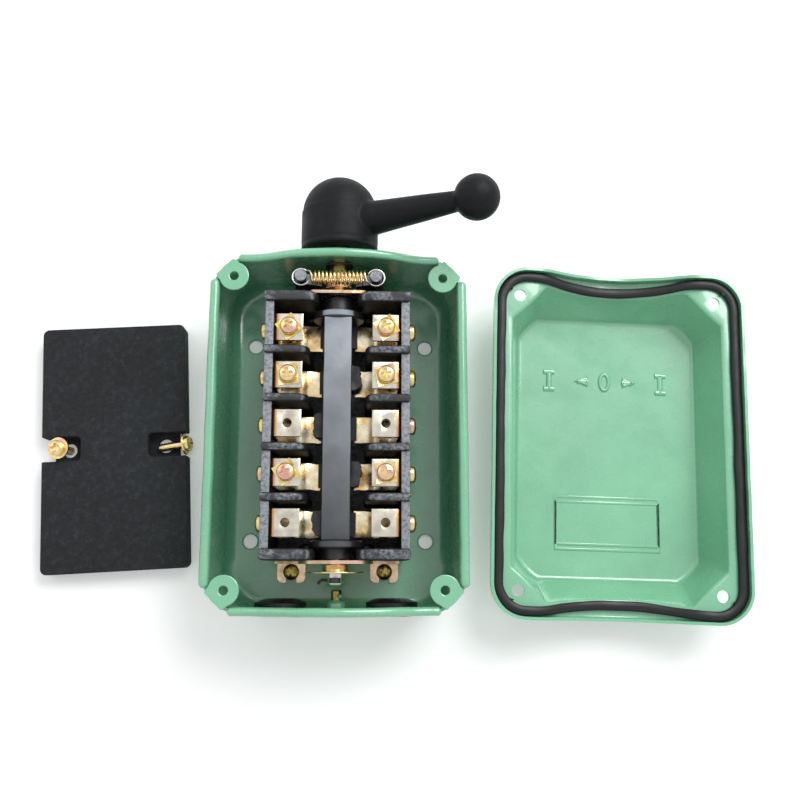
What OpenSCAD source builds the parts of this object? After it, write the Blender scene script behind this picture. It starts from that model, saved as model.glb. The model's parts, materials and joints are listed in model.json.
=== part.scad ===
// Reversing drum switch with its box open: the base lies on its back, the lid lies
// inside up on its right and the insulating cover lies on its left.
// X runs to the right, Y along the shaft towards the handle, Z out of the box.
// The origin is the centre of the four wall holes, on the plane of the wall.

/* [Base] */
// Width of the base over its rolled rim
base_w = 100; // [92:1:110]
// Length of the base over its end walls
base_l = 138; // [134:1:150]
// Height of the side walls
base_h = 40.5; // [38:0.5:46]
// Thickness of the pressed sheet
sheet_t = 1.2; // [0.8:0.1:1.6]
// How far each side wall leans in at the floor
side_lean = 3.2; // [2:0.1:4]
// Corner radius of the base
rim_corner_r = 16; // [14:0.5:18]
// Radius between floor and walls
floor_fillet = 4; // [2:0.5:5]
// How far the rolled rim stands out of the walls
lip_out = 0.5; // [0.3:0.1:0.8]
// Radius of the rolled rim
lip_r = 2; // [1.5:0.1:2.4]
// Rise of the arch in the end walls
arch_rise = 9; // [5:0.5:11]
// Distance from the side of the base to the foot of the arch
arch_margin = 14; // [13:0.5:18]
// Radius where the arch meets the level rim
arch_fillet = 20; // [10:1:26]
// Distance of a wall hole from the side of the base
wall_hole_in_x = 14; // [12:0.5:16]
// Distance of a wall hole from the end of the base
wall_hole_in_y = 28; // [24:0.5:31]
// Radius of a wall hole
wall_hole_r = 2.9; // [2:0.1:3.2]

/* [Lugs] */
// Distance of a lug hole from the side of the base
lug_in_x = 9.5; // [8.5:0.1:10]
// Distance of a lug hole from the end of the base
lug_in_y = 9.3; // [8.5:0.1:10]
// Radius of a lug's round end
lug_r = 5.7; // [5:0.1:6]
// Thickness of a lug
lug_t = 1.4; // [1:0.1:1.8]
// Radius of a tapped hole
tapped_r = 1.7; // [1.4:0.05:1.9]

/* [Mechanism] */
// Middle of the mechanism along the box
mech_y = 1.5; // [0:0.5:2]
// Depth of the shaft line under the level rim
shaft_drop = 5.5; // [5:0.1:6]
// Radius of the shaft
shaft_r = 3; // [2.6:0.1:3.4]
// Width of the two contact boards together
boards_w = 54.6; // [53:0.2:56]
// How far the contact boards stand over the level rim
boards_rise = 8.5; // [8:0.1:9]
// Back of the contact boards
boards_z0 = 6; // [5:0.5:8]
// Thickness of a board's outer wall
board_wall = 3.3; // [3:0.1:3.8]
// Thickness of a barrier rib
rib_t = 3; // [2.4:0.1:3.4]
// Thickness of a board's end wall
board_end_t = 4.2; // [3.6:0.1:4.6]
// Length that both ends of the base take from the rows of contacts
end_room = 45.6; // [44.4:0.2:47]
// Gap from the shaft line to a barrier rib
rib_x0 = 10.5; // [10.4:0.1:12]
// Gap from the shaft line to an end wall
end_x0 = 7.6; // [7:0.1:9]
// Rounding of a rib beside the drum
rib_round = 6; // [4:0.5:8]

/* [Contacts] */
// Thickness of a contact strip
strip_t = 1.2; // [0.8:0.1:1.4]
// Width of a terminal plate and its leg
strip_w = 10.3; // [9:0.1:11]
// Depth of a terminal plate under the boards' front
plate_drop = 4; // [3.6:0.1:5]
// Inner edge of a terminal plate
plate_x0 = 13.2; // [13:0.1:14]
// Centre of a terminal hole
term_x = 18.4; // [18:0.1:19]
// Depth of a finger under the shaft line
finger_drop = 8.6; // [8.4:0.1:10]
// Tip of a finger
finger_x0 = 6.2; // [6:0.1:8]
// Radius of the collar under a terminal plate
collar_r = 3.1; // [2.8:0.1:3.4]
// Depth of that collar
collar_h = 3; // [2:0.2:4]
// Depth of the side screws under the terminal plates
side_screw_drop = 8; // [7:0.1:10]

/* [Rotor] */
// Radius swept by the drum
drum_r = 10; // [9:0.1:10.1]
// Width of the drum's flat bar
bar_w = 10.6; // [9:0.1:11]
// Thickness of a drum flange
flange_t = 2.8; // [2:0.1:3.2]
// Radius of the drum's journals
journal_r = 6; // [5:0.1:6.6]
// Across flats of the detent cam
cam_flats = 11.9; // [11:0.1:12.2]
// Radius over the cam's blunt corners
cam_corner_r = 6.4; // [6.2:0.1:6.5]
// Angle of the handle from the middle position
handle_turn = 60; // [0:5:60]
// Radius of the handle's hub
hub_r = 15.3; // [14:0.1:16]
// Length of the hub's straight part
hub_straight = 16.4; // [14:0.2:18]
// Height of the hub's dome
hub_dome = 14.5; // [12:0.2:15]
// Distance from the shaft line to the ball
arm_l = 59.2; // [56:0.2:66]
// Arm radius at the hub
arm_r0 = 7.1; // [6:0.1:7.6]
// Arm radius at the ball
arm_r1 = 4.3; // [3.6:0.1:5]
// Radius of the ball
ball_r = 8.7; // [8:0.1:9.5]

/* [Detent] */
// Distance of a lever's pivot from the shaft line
lever_x = 15.5; // [14.5:0.1:16.5]
// Height of the lever pivots
lever_z = 10; // [9:0.5:11]
// Thickness of a lever
lever_t = 4; // [3:0.1:4.4]
// Distance of a spring post from the shaft line
post_x = 14.4; // [14:0.1:15]
// Height of the spring over the shaft line
spring_rise = 9.6; // [9.6:0.1:10]
// Mean radius of the spring's coils
coil_r = 2.45; // [2.2:0.05:2.6]
// Radius of the spring wire
wire_r = 0.4; // [0.3:0.05:0.42]
// Length of the coiled stretch
coil_l = 20.4; // [20:0.1:21]

/* [Lid] */
// Clearance between lid and base
lid_gap = 0.5; // [0.4:0.1:1]
// Height of the ledge that seats the gasket
ledge_z = 21.3; // [18:0.1:23]
// Height of the outer lip over the ledge
skirt_h = 3.7; // [3:0.1:4.4]
// Corner radius of the lid
lid_corner_r = 14; // [12:0.5:16]
// Width of the lid's ledge along its sides
ledge_x = 8.7; // [8:0.1:9.6]
// Width of the lid's ledge along its ends
ledge_y = 6.4; // [6.2:0.1:7.6]
// How far the side walls of the lid's hollow slope in
slope_x = 4.4; // [3:0.1:6]
// How far the end walls of the lid's hollow slope in
slope_y = 8.8; // [7:0.1:11]
// Radius of a lid screw hole
lid_hole_r = 2.5; // [2.2:0.1:2.6]
// Width of the gasket
gasket_w = 4.2; // [3.6:0.1:4.8]
// Thickness of the gasket
gasket_t = 2.2; // [1.6:0.1:2.6]
// How far the lid lies beyond its place beside the base
lid_apart = 13; // [10:0.5:30]
// Turn of the lid as it lies
lid_skew = -1.8; // [-2:0.1:0]

/* [Cover] */
// How much wider the insulating cover is than the contact boards
cover_wider = 3.6; // [2:0.2:6]
// How much shorter the insulating cover is than the contact boards
cover_shorter = 0.4; // [0:0.2:4]
// Height of the insulating cover
cover_h = 8; // [6:0.2:9]
// Thickness of the cover's walls
cover_t = 2; // [1.6:0.1:2.4]
// Corner radius of the cover
cover_r = 2.5; // [1.5:0.1:4]
// Length of a screw pocket
pocket_l = 15.5; // [14:0.1:17]
// Width of a screw pocket
pocket_w = 10; // [9.6:0.1:11]
// Gap between the base and the cover beside it
cover_apart = 12.4; // [10:0.2:30]
// Place of the cover along the box
cover_y = -3; // [-10:0.5:10]
// Turn of the cover as it lies
cover_skew = 3.2; // [0:0.1:4]

/* [Hidden] */
$fn = 48;
rows = 5;
sides = [-1, 1];
fit = 0.05;
run_gap = 0.3;
over = 1;
sliver = 0.01;
paint = [0.42, 0.70, 0.53];
zinc = [0.72, 0.63, 0.42];
bakelite = [0.09, 0.09, 0.10];
brass = [0.80, 0.62, 0.34];

// Base and arch
half_w = base_w / 2;
half_l = base_l / 2;
arch_half = half_w - arch_margin;
wall_hole_dx = base_w - 2 * wall_hole_in_x;
wall_hole_dy = base_l - 2 * wall_hole_in_y;
lug_dx = base_w - 2 * lug_in_x;
lug_dy = base_l - 2 * lug_in_y;
wall_x = half_w - lip_out;
wall_l = half_l - lip_out;
wall_y = wall_l - sheet_t;
arch_reach = (arch_half * arch_half + arch_rise * arch_rise) / (2 * arch_rise);
arch_r = arch_reach - arch_fillet;
arch_angle = asin(arch_half / arch_reach);
join_x = arch_half * arch_r / arch_reach;
join_z = arch_fillet * (1 - cos(arch_angle));
lip_side_y = lug_dy / 2 - lip_r;
lip_end_x = lug_dx / 2 - lip_r / 2;
rim_soft_share = 0.3;
lug_tip_shares = [1.24, 0.12];
lug_tip_a = [lug_dx / 2 + lug_r * lug_tip_shares[0], lug_dy / 2 + lug_r * lug_tip_shares[1]];
lug_tip_b = [lug_dx / 2 + lug_r * lug_tip_shares[1], lug_dy / 2 + lug_r * lug_tip_shares[0]];
lug_z0 = base_h - lug_t;
lug_collar_r = 2.9;
lug_collar_h = 3;

// Cable plugs and earth screw in the lower end wall
plug_x = 21.5;
plug_z = 20;
plug_r = 10;
plug_neck_r = 8.5;
plug_in_t = 2.6;
plug_out_t = 2.2;
plug_dome = 1.4;
plug_dome_r = 6;
earth_z = 20;
earth_shank_y = 8.4;
earth_head_r = 3.6;
earth_head_h = 2.6;
earth_r = 2.1;
earth_nut_r = 3.5;
earth_nut_t = 3.4;
earth_nut_round = 1.2;

// Screws, all with a cross recess
screw_r = tapped_r - fit;
pan_r = 3.2;
pan_h = 2.3;
pan_round = 0.9;
cross_w = 1;
cross_l = 3.6;
cross_d = 1.1;

// Mechanism
shaft_z = base_h - shaft_drop;
boards_z1 = base_h + boards_rise;
plate_z = boards_z1 - plate_drop;
finger_z = shaft_z - finger_drop;
side_screw_z = plate_z - side_screw_drop;
chamber_l = base_l - end_room;
row_spare = 0.4;
row_pitch = (chamber_l - row_spare) / rows;
row_y = [for (k = [1:rows]) mech_y + row_pitch * ((rows + 1) / 2 - k)];
boards_x1 = boards_w / 2;
end_y = [mech_y - chamber_l / 2, mech_y + chamber_l / 2];
board_y = [end_y[0] - board_end_t, end_y[1] + board_end_t];
leg_x = boards_x1 - board_wall;
web_t = 3;
rib_proud = 1.4;
seam = 0.1;
bracket_t = 1.2;
bracket_w = 49.2;
bracket_shoulder = 14.5;
bracket_crown_r = 14;
bracket_crown_rise = 10;
foot_w = 11.4;
foot_l = 7.6;
foot_screw_y = 3.2;
foot_x = 18.9;
foot_slot = 4.2;
foot_round = 2.4;
board_screw_x = 11.5;
board_screw_z = 20;
screwed_rows = [1, 2, 4];
washer_share = 0.5;
lug_washer = (row_pitch - rib_t) * washer_share;
lug_washer_t = 0.9;
spring_washer_r = 3.1;
spring_washer_t = 0.6;
washer_turns_left = [38, 8, 32];
washer_turns_right = [30, 14, 6];
side_head_r = 3.4;
side_head_h = 2.9;
term_screw_l = 6.6;

// Rotor
hub_gap = 2.2;
hub_y0 = half_l + hub_gap;
bar_z = sqrt(drum_r * drum_r - bar_w * bar_w / 4);
bar_gap_low = 3.1;
bar_gap_high = 4.6;
bar_y = [end_y[0] + bar_gap_low, end_y[1] - bar_gap_high];
lobe_w = 9.6;
lobe_z_share = 0.42;
core_z_share = 0.5;
moving_t = 1.2;
moving_w = 9;
moving_angle = 96;
shaft_tail = 9.8;
shaft_nose = 1.4;
shaft_y0 = board_y[0] - shaft_tail;
shaft_in_hub = 19;
lever_gap = 5.1;
lever_y = board_y[1] + bracket_t + lever_gap;
cam_t = 5;
ring_r = 5.4;
ring_t = 0.9;
ring_gap = 1.2;
ring_y = wall_y - ring_gap;
bush_r = 4.9;
bush_t = 2.6;
washer_r = 10.8;
washer_t = 0.5;
pin_r = 0.9;
pin_gap = 0.3;
pin_leg_r = 0.55;
pin_leg_l = 4.6;
pin_bent_l = 1.8;
pin_bend = 50;
pin_eye_r = 2.1;
pin_eye_hole = 0.9;
pin_eye_t = 2;
pin_y = 7.2;
skirt_step = 0.5;
dome_steps = 12;
arm_in_hub = 12.1;
arm_y = hub_y0 + arm_in_hub;
arm_in_ball = 3;
arm_root_share = 1.08;

// Detent levers and spring
spring_z = shaft_z + spring_rise;
lever_boss_r = 4.2;
lever_pin_r = 1.9;
lever_pin_head_r = 3;
lever_pin_head_t = 1.2;
lever_w = 6.4;
nose_x0 = cam_corner_r + run_gap;
nose_h = 9;
post_r = 1.9;
post_cap_r = 2.3;
post_cap_h = 1.7;
coils = 14;
coil_rings = 8;
tube_sides = 6;
hook_r = 3.2;
hook_rings = 15;
hook_sweep = 285;
gap_skip = 5;

// Lid
lid_x1 = half_w + lid_gap + sheet_t;
lid_y1 = half_l + lid_gap + sheet_t;
lid_away = base_w + lid_apart;
hollow_x1 = lid_x1 - ledge_x;
hollow_y1 = lid_y1 - ledge_y;
panel_x = hollow_x1 - slope_x;
panel_y = hollow_y1 - slope_y;
hollow_cut = 14.4;
panel_cut = 7.5;
emboss_d = 0.6;
emboss_x = 22;
emboss_in = 12.1;
emboss_l = 23.2;
emboss_y = [emboss_in - panel_y, emboss_in + emboss_l - panel_y];
emboss_band = 2.2;
gasket_seat = 0.2;

// Cover, its screws and their pockets
cover_w = boards_w + cover_wider;
cover_l = board_y[1] - board_y[0] - cover_shorter;
cover_x = -half_w - cover_apart - cover_w / 2;
pocket_floor = 2;
pocket_wall = 1.6;
pocket_round = 2;
pocket_hole_r = 2.9;
pocket_hole_x = 6;
pocket_notch = 3.7;
cover_screw_l = 11;
cover_washer_r = 4.4;
cover_washer_t = 0.8;
standing_tilt = 11;
lying_x = 14;
lying_turn = 5.5;
lying_tilt = 7.5;

// Shapes that several pieces share

// Box between two corners
module block(a, b) {
    translate(a) cube(b - a);
}

// Flat outline with rounded corners, given by its half sizes
module rounded(hx, hy, r) {
    square([2 * hx, 2 * (hy - r)], center = true);
    square([2 * (hx - r), 2 * hy], center = true);
    for (sx = sides, sy = sides) translate([sx * (hx - r), sy * (hy - r)]) circle(r);
}

// Round bar along Y
module rod_y(r, y0, y1, x = 0, z = 0) {
    translate([x, y1, z]) rotate([90, 0, 0]) cylinder(r = r, h = y1 - y0);
}

// Round bar along X
module rod_x(r, x0, x1, y = 0, z = 0) {
    translate([x0, y, z]) rotate([0, 90, 0]) cylinder(r = r, h = x1 - x0);
}

// Outline drawn in X and Z, given a thickness along Y
module slab_y(y0, y1) {
    translate([0, y1, 0]) rotate([90, 0, 0]) linear_extrude(y1 - y0) children();
}

// Hump that the arch adds above the level rim
module hump() {
    intersection() {
        translate([0, arch_rise - arch_r]) circle(arch_r, $fn = 160);
        translate([-join_x, 0]) square([2 * join_x, arch_rise]);
    }
    for (s = sides) scale([s, 1]) difference() {
        translate([join_x - sliver, 0]) square([arch_half - join_x + sliver, join_z]);
        translate([arch_half, arch_fillet]) circle(arch_fillet, $fn = 96);
    }
}

// Everything below the rim of the base, as an outline in X and Z
module below_arch(level) {
    translate([-base_w, -over]) square([2 * base_w, level + over]);
    translate([0, level - sliver]) hump();
}

// Everything below the lid's ledge, which dips where the base rises
module below_dip(level) {
    difference() {
        translate([-base_w, -over]) square([2 * base_w, level + over]);
        translate([0, level + sliver]) mirror([0, 1]) hump();
    }
}

// Screw with its head on top, its shank downwards and a cross recess
module pan_screw(length, r = screw_r, head_r = pan_r, head_h = pan_h) {
    difference() {
        union() {
            translate([0, 0, -length]) cylinder(r = r, h = length + sliver);
            cylinder(r = head_r, h = head_h - pan_round);
            translate([0, 0, head_h - pan_round])
                cylinder(r1 = head_r, r2 = head_r - pan_round, h = pan_round);
        }
        for (a = [0, 90]) rotate(a) translate([-cross_l / 2, -cross_w / 2, head_h - cross_d])
            cube([cross_l, cross_w, cross_d + over]);
    }
}

// Base and what is fixed in its walls

// Outline of the walls in X and Z, with sides that lean in and a rounded floor edge
module wall_front(inset) {
    r = floor_fillet - inset;
    lean = side_lean / base_h;
    slope = sqrt(1 + lean * lean);
    z = inset + r;
    x = wall_x - inset - side_lean + lean * z - r * slope;
    top = base_h + arch_rise;
    top_x = wall_x - inset - side_lean + lean * top;
    polygon([[-x, inset], [x, inset], [x + r / slope, z - r * lean / slope], [top_x, top],
        [-top_x, top], [-x - r / slope, z - r * lean / slope]]);
    for (s = sides) translate([s * x, z]) circle(r);
}

// Outline of the walls in Y and Z
module wall_side(inset) {
    r = floor_fillet - inset;
    y = wall_l - inset;
    translate([-y, inset + r]) square([2 * y, base_h + arch_rise]);
    translate([-y + r, inset]) square([2 * (y - r), r + sliver]);
    for (s = sides) translate([s * (y - r), inset + r]) circle(r);
}

module base_solid(inset) {
    intersection() {
        linear_extrude(base_h + arch_rise) rounded(wall_x - inset, wall_l - inset, rim_corner_r - inset);
        slab_y(-base_l, base_l) wall_front(inset);
        translate([base_w, 0, 0]) rotate([90, 0, -90]) linear_extrude(2 * base_w) wall_side(inset);
    }
}

// Band that follows the arch, from one depth under the rim to another
module arch_band(top, bottom) {
    intersection() {
        difference() {
            below_arch(base_h - top);
            below_arch(base_h - bottom);
        }
        translate([-lip_end_x, 0]) square([2 * lip_end_x, 2 * base_h]);
    }
}

module rolled_rim() {
    lip_z = base_h - lip_r;
    soft = lip_r * rim_soft_share;
    for (s = sides) {
        rod_y(lip_r, -lip_side_y, lip_side_y, s * (half_w - lip_r), lip_z);
        for (e = sides) translate([s * (half_w - lip_r), e * lip_side_y, lip_z]) rotate([-e * 90, 0, 0])
            cylinder(r1 = lip_r, r2 = lip_r / 2, h = lip_r);
    }
    for (e = [0, 1]) mirror([0, e, 0]) {
        slab_y(half_l - 2 * lip_r + soft, half_l - soft) arch_band(0, 2 * lip_r);
        slab_y(half_l - 2 * lip_r, half_l) arch_band(soft, 2 * lip_r - soft);
    }
}

module lug_outline() {
    corner = [lug_dx / 2, lug_dy / 2];
    across_45 = lug_r * sin(45);
    translate(corner) circle(lug_r);
    polygon([lug_tip_a, lug_tip_b, corner + [-across_45, across_45], corner + [across_45, -across_45]]);
}

module base_shell() {
    color(paint) difference() {
        union() {
            difference() {
                intersection() {
                    base_solid(0);
                    slab_y(-base_l, base_l) below_arch(lug_z0);
                }
                base_solid(sheet_t);
            }
            rolled_rim();
        }
        for (sx = sides, sy = sides) {
            translate([sx * wall_hole_dx / 2, sy * wall_hole_dy / 2, -over])
                cylinder(r = wall_hole_r, h = sheet_t + 2 * over);
            translate([0, 0, lug_z0]) scale([sx, sy, 1]) linear_extrude(base_h) lug_outline();
            translate([sx * foot_x, sy > 0 ? board_y[1] + bracket_t + foot_screw_y
                : board_y[0] - bracket_t - foot_screw_y, -over])
                cylinder(r = tapped_r, h = sheet_t + 2 * over);
        }
        rod_y(shaft_r + fit + run_gap, wall_y - over, half_l + over, 0, shaft_z);
        for (s = sides) rod_y(plug_neck_r + fit, -half_l - over, -wall_y + over, s * plug_x, plug_z);
        rod_y(earth_r + fit, -half_l - over, -wall_y + over, 0, earth_z);
    }
}

module lid_lugs() {
    color(paint) for (sx = sides, sy = sides) scale([sx, sy, 1]) difference() {
        union() {
            translate([0, 0, lug_z0]) linear_extrude(lug_t) lug_outline();
            translate([lug_dx / 2, lug_dy / 2, lug_z0 - lug_collar_h])
                cylinder(r = lug_collar_r, h = lug_collar_h + sliver);
        }
        translate([lug_dx / 2, lug_dy / 2, lug_z0 - lug_collar_h - over])
            cylinder(r = tapped_r, h = lug_t + lug_collar_h + 2 * over);
    }
}

module cable_plugs() {
    color("#1d1d1f") for (s = sides) {
        rod_y(plug_neck_r, -wall_l - sliver, -wall_y + sliver, s * plug_x, plug_z);
        rod_y(plug_r, -wall_y, -wall_y + plug_in_t, s * plug_x, plug_z);
        rod_y(plug_r, -wall_l - plug_out_t, -wall_l, s * plug_x, plug_z);
        translate([s * plug_x, -wall_y + plug_in_t - sliver, plug_z]) rotate([-90, 0, 0])
            cylinder(r1 = plug_r, r2 = plug_dome_r, h = plug_dome);
    }
}

module earth_screw() {
    color(zinc) translate([0, -wall_l, earth_z]) rotate([90, 0, 0])
        pan_screw(earth_shank_y, earth_r, earth_head_r, earth_head_h);
}

module earth_nut() {
    color(paint) translate([0, -wall_y, earth_z]) rotate([-90, 0, 0]) difference() {
        union() {
            cylinder(r = earth_nut_r, h = earth_nut_t - earth_nut_round);
            translate([0, 0, earth_nut_t - earth_nut_round])
                cylinder(r1 = earth_nut_r, r2 = earth_nut_r - earth_nut_round, h = earth_nut_round);
        }
        translate([0, 0, -over]) cylinder(r = earth_r + fit, h = earth_nut_t + 2 * over);
    }
}

// Brackets that carry the shaft and the two contact boards

// Bracket with its plate starting at Y = 0 and its feet running towards +Y
module bracket() {
    difference() {
        union() {
            slab_y(0, bracket_t) {
                translate([-bracket_w / 2, sheet_t]) square([bracket_w, bracket_shoulder - sheet_t]);
                intersection() {
                    translate([0, shaft_z]) circle(bracket_crown_r);
                    translate([-bracket_w / 2, 0]) square([bracket_w, shaft_z + bracket_crown_rise]);
                }
                translate([-bracket_crown_r, sheet_t])
                    square([2 * bracket_crown_r, shaft_z - sheet_t]);
            }
            for (s = sides) translate([s * foot_x, 0, sheet_t]) {
                translate([-foot_w / 2, 0, 0]) cube([foot_w, bracket_t + foot_l - foot_round, bracket_t]);
                for (e = sides)
                    translate([e * (foot_w / 2 - foot_round), bracket_t + foot_l - foot_round, 0])
                        cylinder(r = foot_round, h = bracket_t);
            }
        }
        rod_y(shaft_r + fit, -over, bracket_t + over, 0, shaft_z);
        for (s = sides) {
            translate([s * foot_x, bracket_t + foot_screw_y, sheet_t - over]) {
                cylinder(r = foot_slot / 2, h = bracket_t + 2 * over);
                translate([-foot_slot / 2, 0, 0]) cube([foot_slot, foot_l, bracket_t + 2 * over]);
            }
            rod_y(screw_r + fit, -over, bracket_t + over, s * board_screw_x, board_screw_z);
        }
        for (s = sides) rod_y(lever_pin_r + fit, -over, bracket_t + over, s * lever_x, lever_z);
    }
}

module top_bracket() {
    color(zinc) translate([0, board_y[1], 0]) bracket();
}

module bottom_bracket() {
    color(zinc) translate([0, board_y[0], 0]) mirror([0, 1, 0]) bracket();
}

module bracket_screws() {
    foot_y = [board_y[0] - bracket_t - foot_screw_y, board_y[1] + bracket_t + foot_screw_y];
    color(zinc) for (s = sides, y = foot_y) translate([s * foot_x, y, sheet_t + bracket_t])
        pan_screw(sheet_t + bracket_t);
}

module board_screws() {
    color("#26262a") for (s = sides) {
        translate([s * board_screw_x, end_y[1], board_screw_z]) rotate([90, 0, 0])
            pan_screw(board_end_t + bracket_t);
        translate([s * board_screw_x, end_y[0], board_screw_z]) rotate([-90, 0, 0])
            pan_screw(board_end_t + bracket_t);
    }
}

// Contact board on the right, the left one is its mirror image

module rib_outline(x0) {
    difference() {
        translate([x0, boards_z0]) square([boards_x1 - x0, boards_z1 - boards_z0]);
        translate([x0 - sliver, boards_z1 - rib_round])
            square([rib_round + sliver, rib_round + sliver]);
    }
    translate([x0 + rib_round, boards_z1 - rib_round]) circle(rib_round);
}

module contact_board() {
    difference() {
        union() {
            block([leg_x, board_y[0], boards_z0], [boards_x1, board_y[1], boards_z1 - rib_proud]);
            block([seam, board_y[0], boards_z0], [boards_x1, board_y[1], boards_z0 + web_t]);
            for (k = [1:rows - 1]) {
                y = (row_y[k] + row_y[k - 1]) / 2;
                slab_y(y - rib_t / 2, y + rib_t / 2) rib_outline(rib_x0);
            }
            slab_y(board_y[0], end_y[0]) rib_outline(end_x0);
            slab_y(end_y[1], board_y[1]) rib_outline(end_x0);
        }
        for (y = row_y) rod_x(screw_r + fit, leg_x - over, boards_x1 + over, y, side_screw_z);
        rod_y(screw_r + fit, board_y[0] - over, end_y[0] + over, board_screw_x, board_screw_z);
        rod_y(screw_r + fit, end_y[1] - over, board_y[1] + over, board_screw_x, board_screw_z);
    }
}

module right_contact_board() {
    color(bakelite) contact_board();
}

module left_contact_board() {
    color(bakelite) mirror([1, 0, 0]) contact_board();
}

// Contact of one row: terminal plate, leg and finger in one bent strip

module contact(k) {
    y = row_y[k - 1];
    translate([0, y, 0]) difference() {
        union() {
            block([plate_x0, -strip_w / 2, plate_z - strip_t], [leg_x - strip_t, strip_w / 2, plate_z]);
            rod_y(strip_t, -strip_w / 2, strip_w / 2, leg_x - strip_t, plate_z - strip_t);
            block([leg_x - strip_t, -strip_w / 2, finger_z - strip_t],
                [leg_x, strip_w / 2, plate_z - strip_t]);
            block([finger_x0, -strip_w / 2, finger_z - strip_t], [leg_x, strip_w / 2, finger_z]);
            translate([term_x, 0, plate_z - strip_t - collar_h])
                cylinder(r = collar_r, h = collar_h + sliver);
        }
        translate([term_x, 0, plate_z - strip_t - collar_h - over])
            cylinder(r = tapped_r, h = strip_t + collar_h + 2 * over);
        rod_x(screw_r + fit, leg_x - strip_t - over, leg_x + over, 0, side_screw_z);
    }
}

module right_contact(k) {
    color(brass) contact(k);
}

module left_contact(k) {
    color(brass) mirror([1, 0, 0]) contact(k);
}

module contact_screws() {
    color(zinc) for (s = sides, y = row_y)
        translate([s * boards_x1, y, side_screw_z]) rotate([0, s * 90, 0])
            pan_screw(board_wall + strip_t, head_r = side_head_r, head_h = side_head_h);
}

module terminal_places(s) {
    for (i = [0:len(screwed_rows) - 1])
        translate([s * term_x, row_y[screwed_rows[i] - 1], plate_z])
            rotate(s < 0 ? washer_turns_left[i] : washer_turns_right[i]) children();
}

module terminal_screws() {
    color(zinc) for (s = sides) terminal_places(s)
        translate([0, 0, lug_washer_t + spring_washer_t]) pan_screw(term_screw_l);
}

module terminal_washers() {
    color(zinc) for (s = sides) terminal_places(s) difference() {
        union() {
            translate([-lug_washer / 2, -lug_washer / 2, 0])
                cube([lug_washer, lug_washer, lug_washer_t]);
            translate([0, 0, lug_washer_t - sliver])
                cylinder(r = spring_washer_r, h = spring_washer_t + sliver);
        }
        translate([0, 0, -over]) cylinder(r = tapped_r, h = lug_washer_t + spring_washer_t + 2 * over);
    }
}

// Rotor, drawn as it stands with the handle turned to the right

module shaft() {
    color(zinc) difference() {
        union() {
            rod_y(shaft_r, shaft_y0 + shaft_nose, hub_y0 + shaft_in_hub, 0, shaft_z);
            translate([0, shaft_y0 + shaft_nose, shaft_z]) scale([1, shaft_nose / shaft_r, 1])
                sphere(shaft_r);
        }
        translate([0, board_y[0] - pin_y, shaft_z - shaft_r - over])
            cylinder(r = pin_r + fit, h = 2 * (shaft_r + over));
    }
}

module lobe(y, s) {
    intersection() {
        rod_y(drum_r, y - lobe_w / 2, y + lobe_w / 2, 0, shaft_z);
        block([s > 0 ? bar_w / 2 - sliver : -drum_r, y - lobe_w, shaft_z - drum_r * lobe_z_share],
            [s > 0 ? drum_r : -bar_w / 2 + sliver, y + lobe_w, shaft_z + drum_r * lobe_z_share]);
    }
}

module drum() {
    color(bakelite) difference() {
        union() {
            block([-bar_w / 2, bar_y[0], shaft_z - bar_z + 2 * moving_t],
                [bar_w / 2, bar_y[1], shaft_z + bar_z]);
            rod_y(drum_r, bar_y[0] - flange_t, bar_y[0] + sliver, 0, shaft_z);
            rod_y(drum_r, bar_y[1] - sliver, bar_y[1] + flange_t, 0, shaft_z);
            rod_y(journal_r, board_y[0] + run_gap, bar_y[0], 0, shaft_z);
            rod_y(journal_r, bar_y[1], board_y[1] - run_gap, 0, shaft_z);
            for (k = [3, 5]) lobe(row_y[k - 1], -1);
            for (k = [2, 4]) lobe(row_y[k - 1], 1);
            for (y = row_y) intersection() {
                rod_y(drum_r - moving_t, y - moving_w / 2, y + moving_w / 2, 0, shaft_z);
                block([-drum_r, y - moving_w, shaft_z - drum_r],
                    [drum_r, y + moving_w, shaft_z - drum_r * core_z_share]);
            }
        }
        rod_y(shaft_r, board_y[0] - over, board_y[1] + over, 0, shaft_z);
    }
}

module moving_contacts() {
    color(brass) for (y = row_y) difference() {
        intersection() {
            rod_y(drum_r, y - moving_w / 2, y + moving_w / 2, 0, shaft_z);
            slab_y(y - moving_w, y + moving_w) polygon([[0, shaft_z],
                [drum_r * 2 * sin(-moving_angle / 2), shaft_z - drum_r * 2 * cos(moving_angle / 2)],
                [drum_r * 2 * sin(moving_angle / 2), shaft_z - drum_r * 2 * cos(moving_angle / 2)]]);
        }
        rod_y(drum_r - moving_t, y - moving_w, y + moving_w, 0, shaft_z);
    }
}

module detent_cam() {
    color(zinc) difference() {
        intersection() {
            slab_y(lever_y - cam_t / 2, lever_y + cam_t / 2) translate([0, shaft_z])
                rotate(30) circle(cam_flats / 2 / cos(30), $fn = 6);
            rod_y(cam_corner_r, lever_y - cam_t, lever_y + cam_t, 0, shaft_z);
        }
        rod_y(shaft_r, lever_y - cam_t, lever_y + cam_t, 0, shaft_z);
    }
}

module retaining_ring() {
    color("#26262a") difference() {
        rod_y(ring_r, ring_y - ring_t, ring_y, 0, shaft_z);
        rod_y(shaft_r, ring_y - ring_t - over, ring_y + over, 0, shaft_z);
    }
}

// Bush against the lower bracket with a thin wide washer under it
module shaft_washer() {
    y1 = board_y[0] - bracket_t - run_gap;
    y0 = y1 - bush_t;
    color(zinc) difference() {
        union() {
            rod_y(bush_r, y0, y1, 0, shaft_z);
            rod_y(washer_r, y0 - washer_t, y0 + sliver, 0, shaft_z);
        }
        rod_y(shaft_r, y0 - washer_t - over, y1 + over, 0, shaft_z);
    }
}

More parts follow.
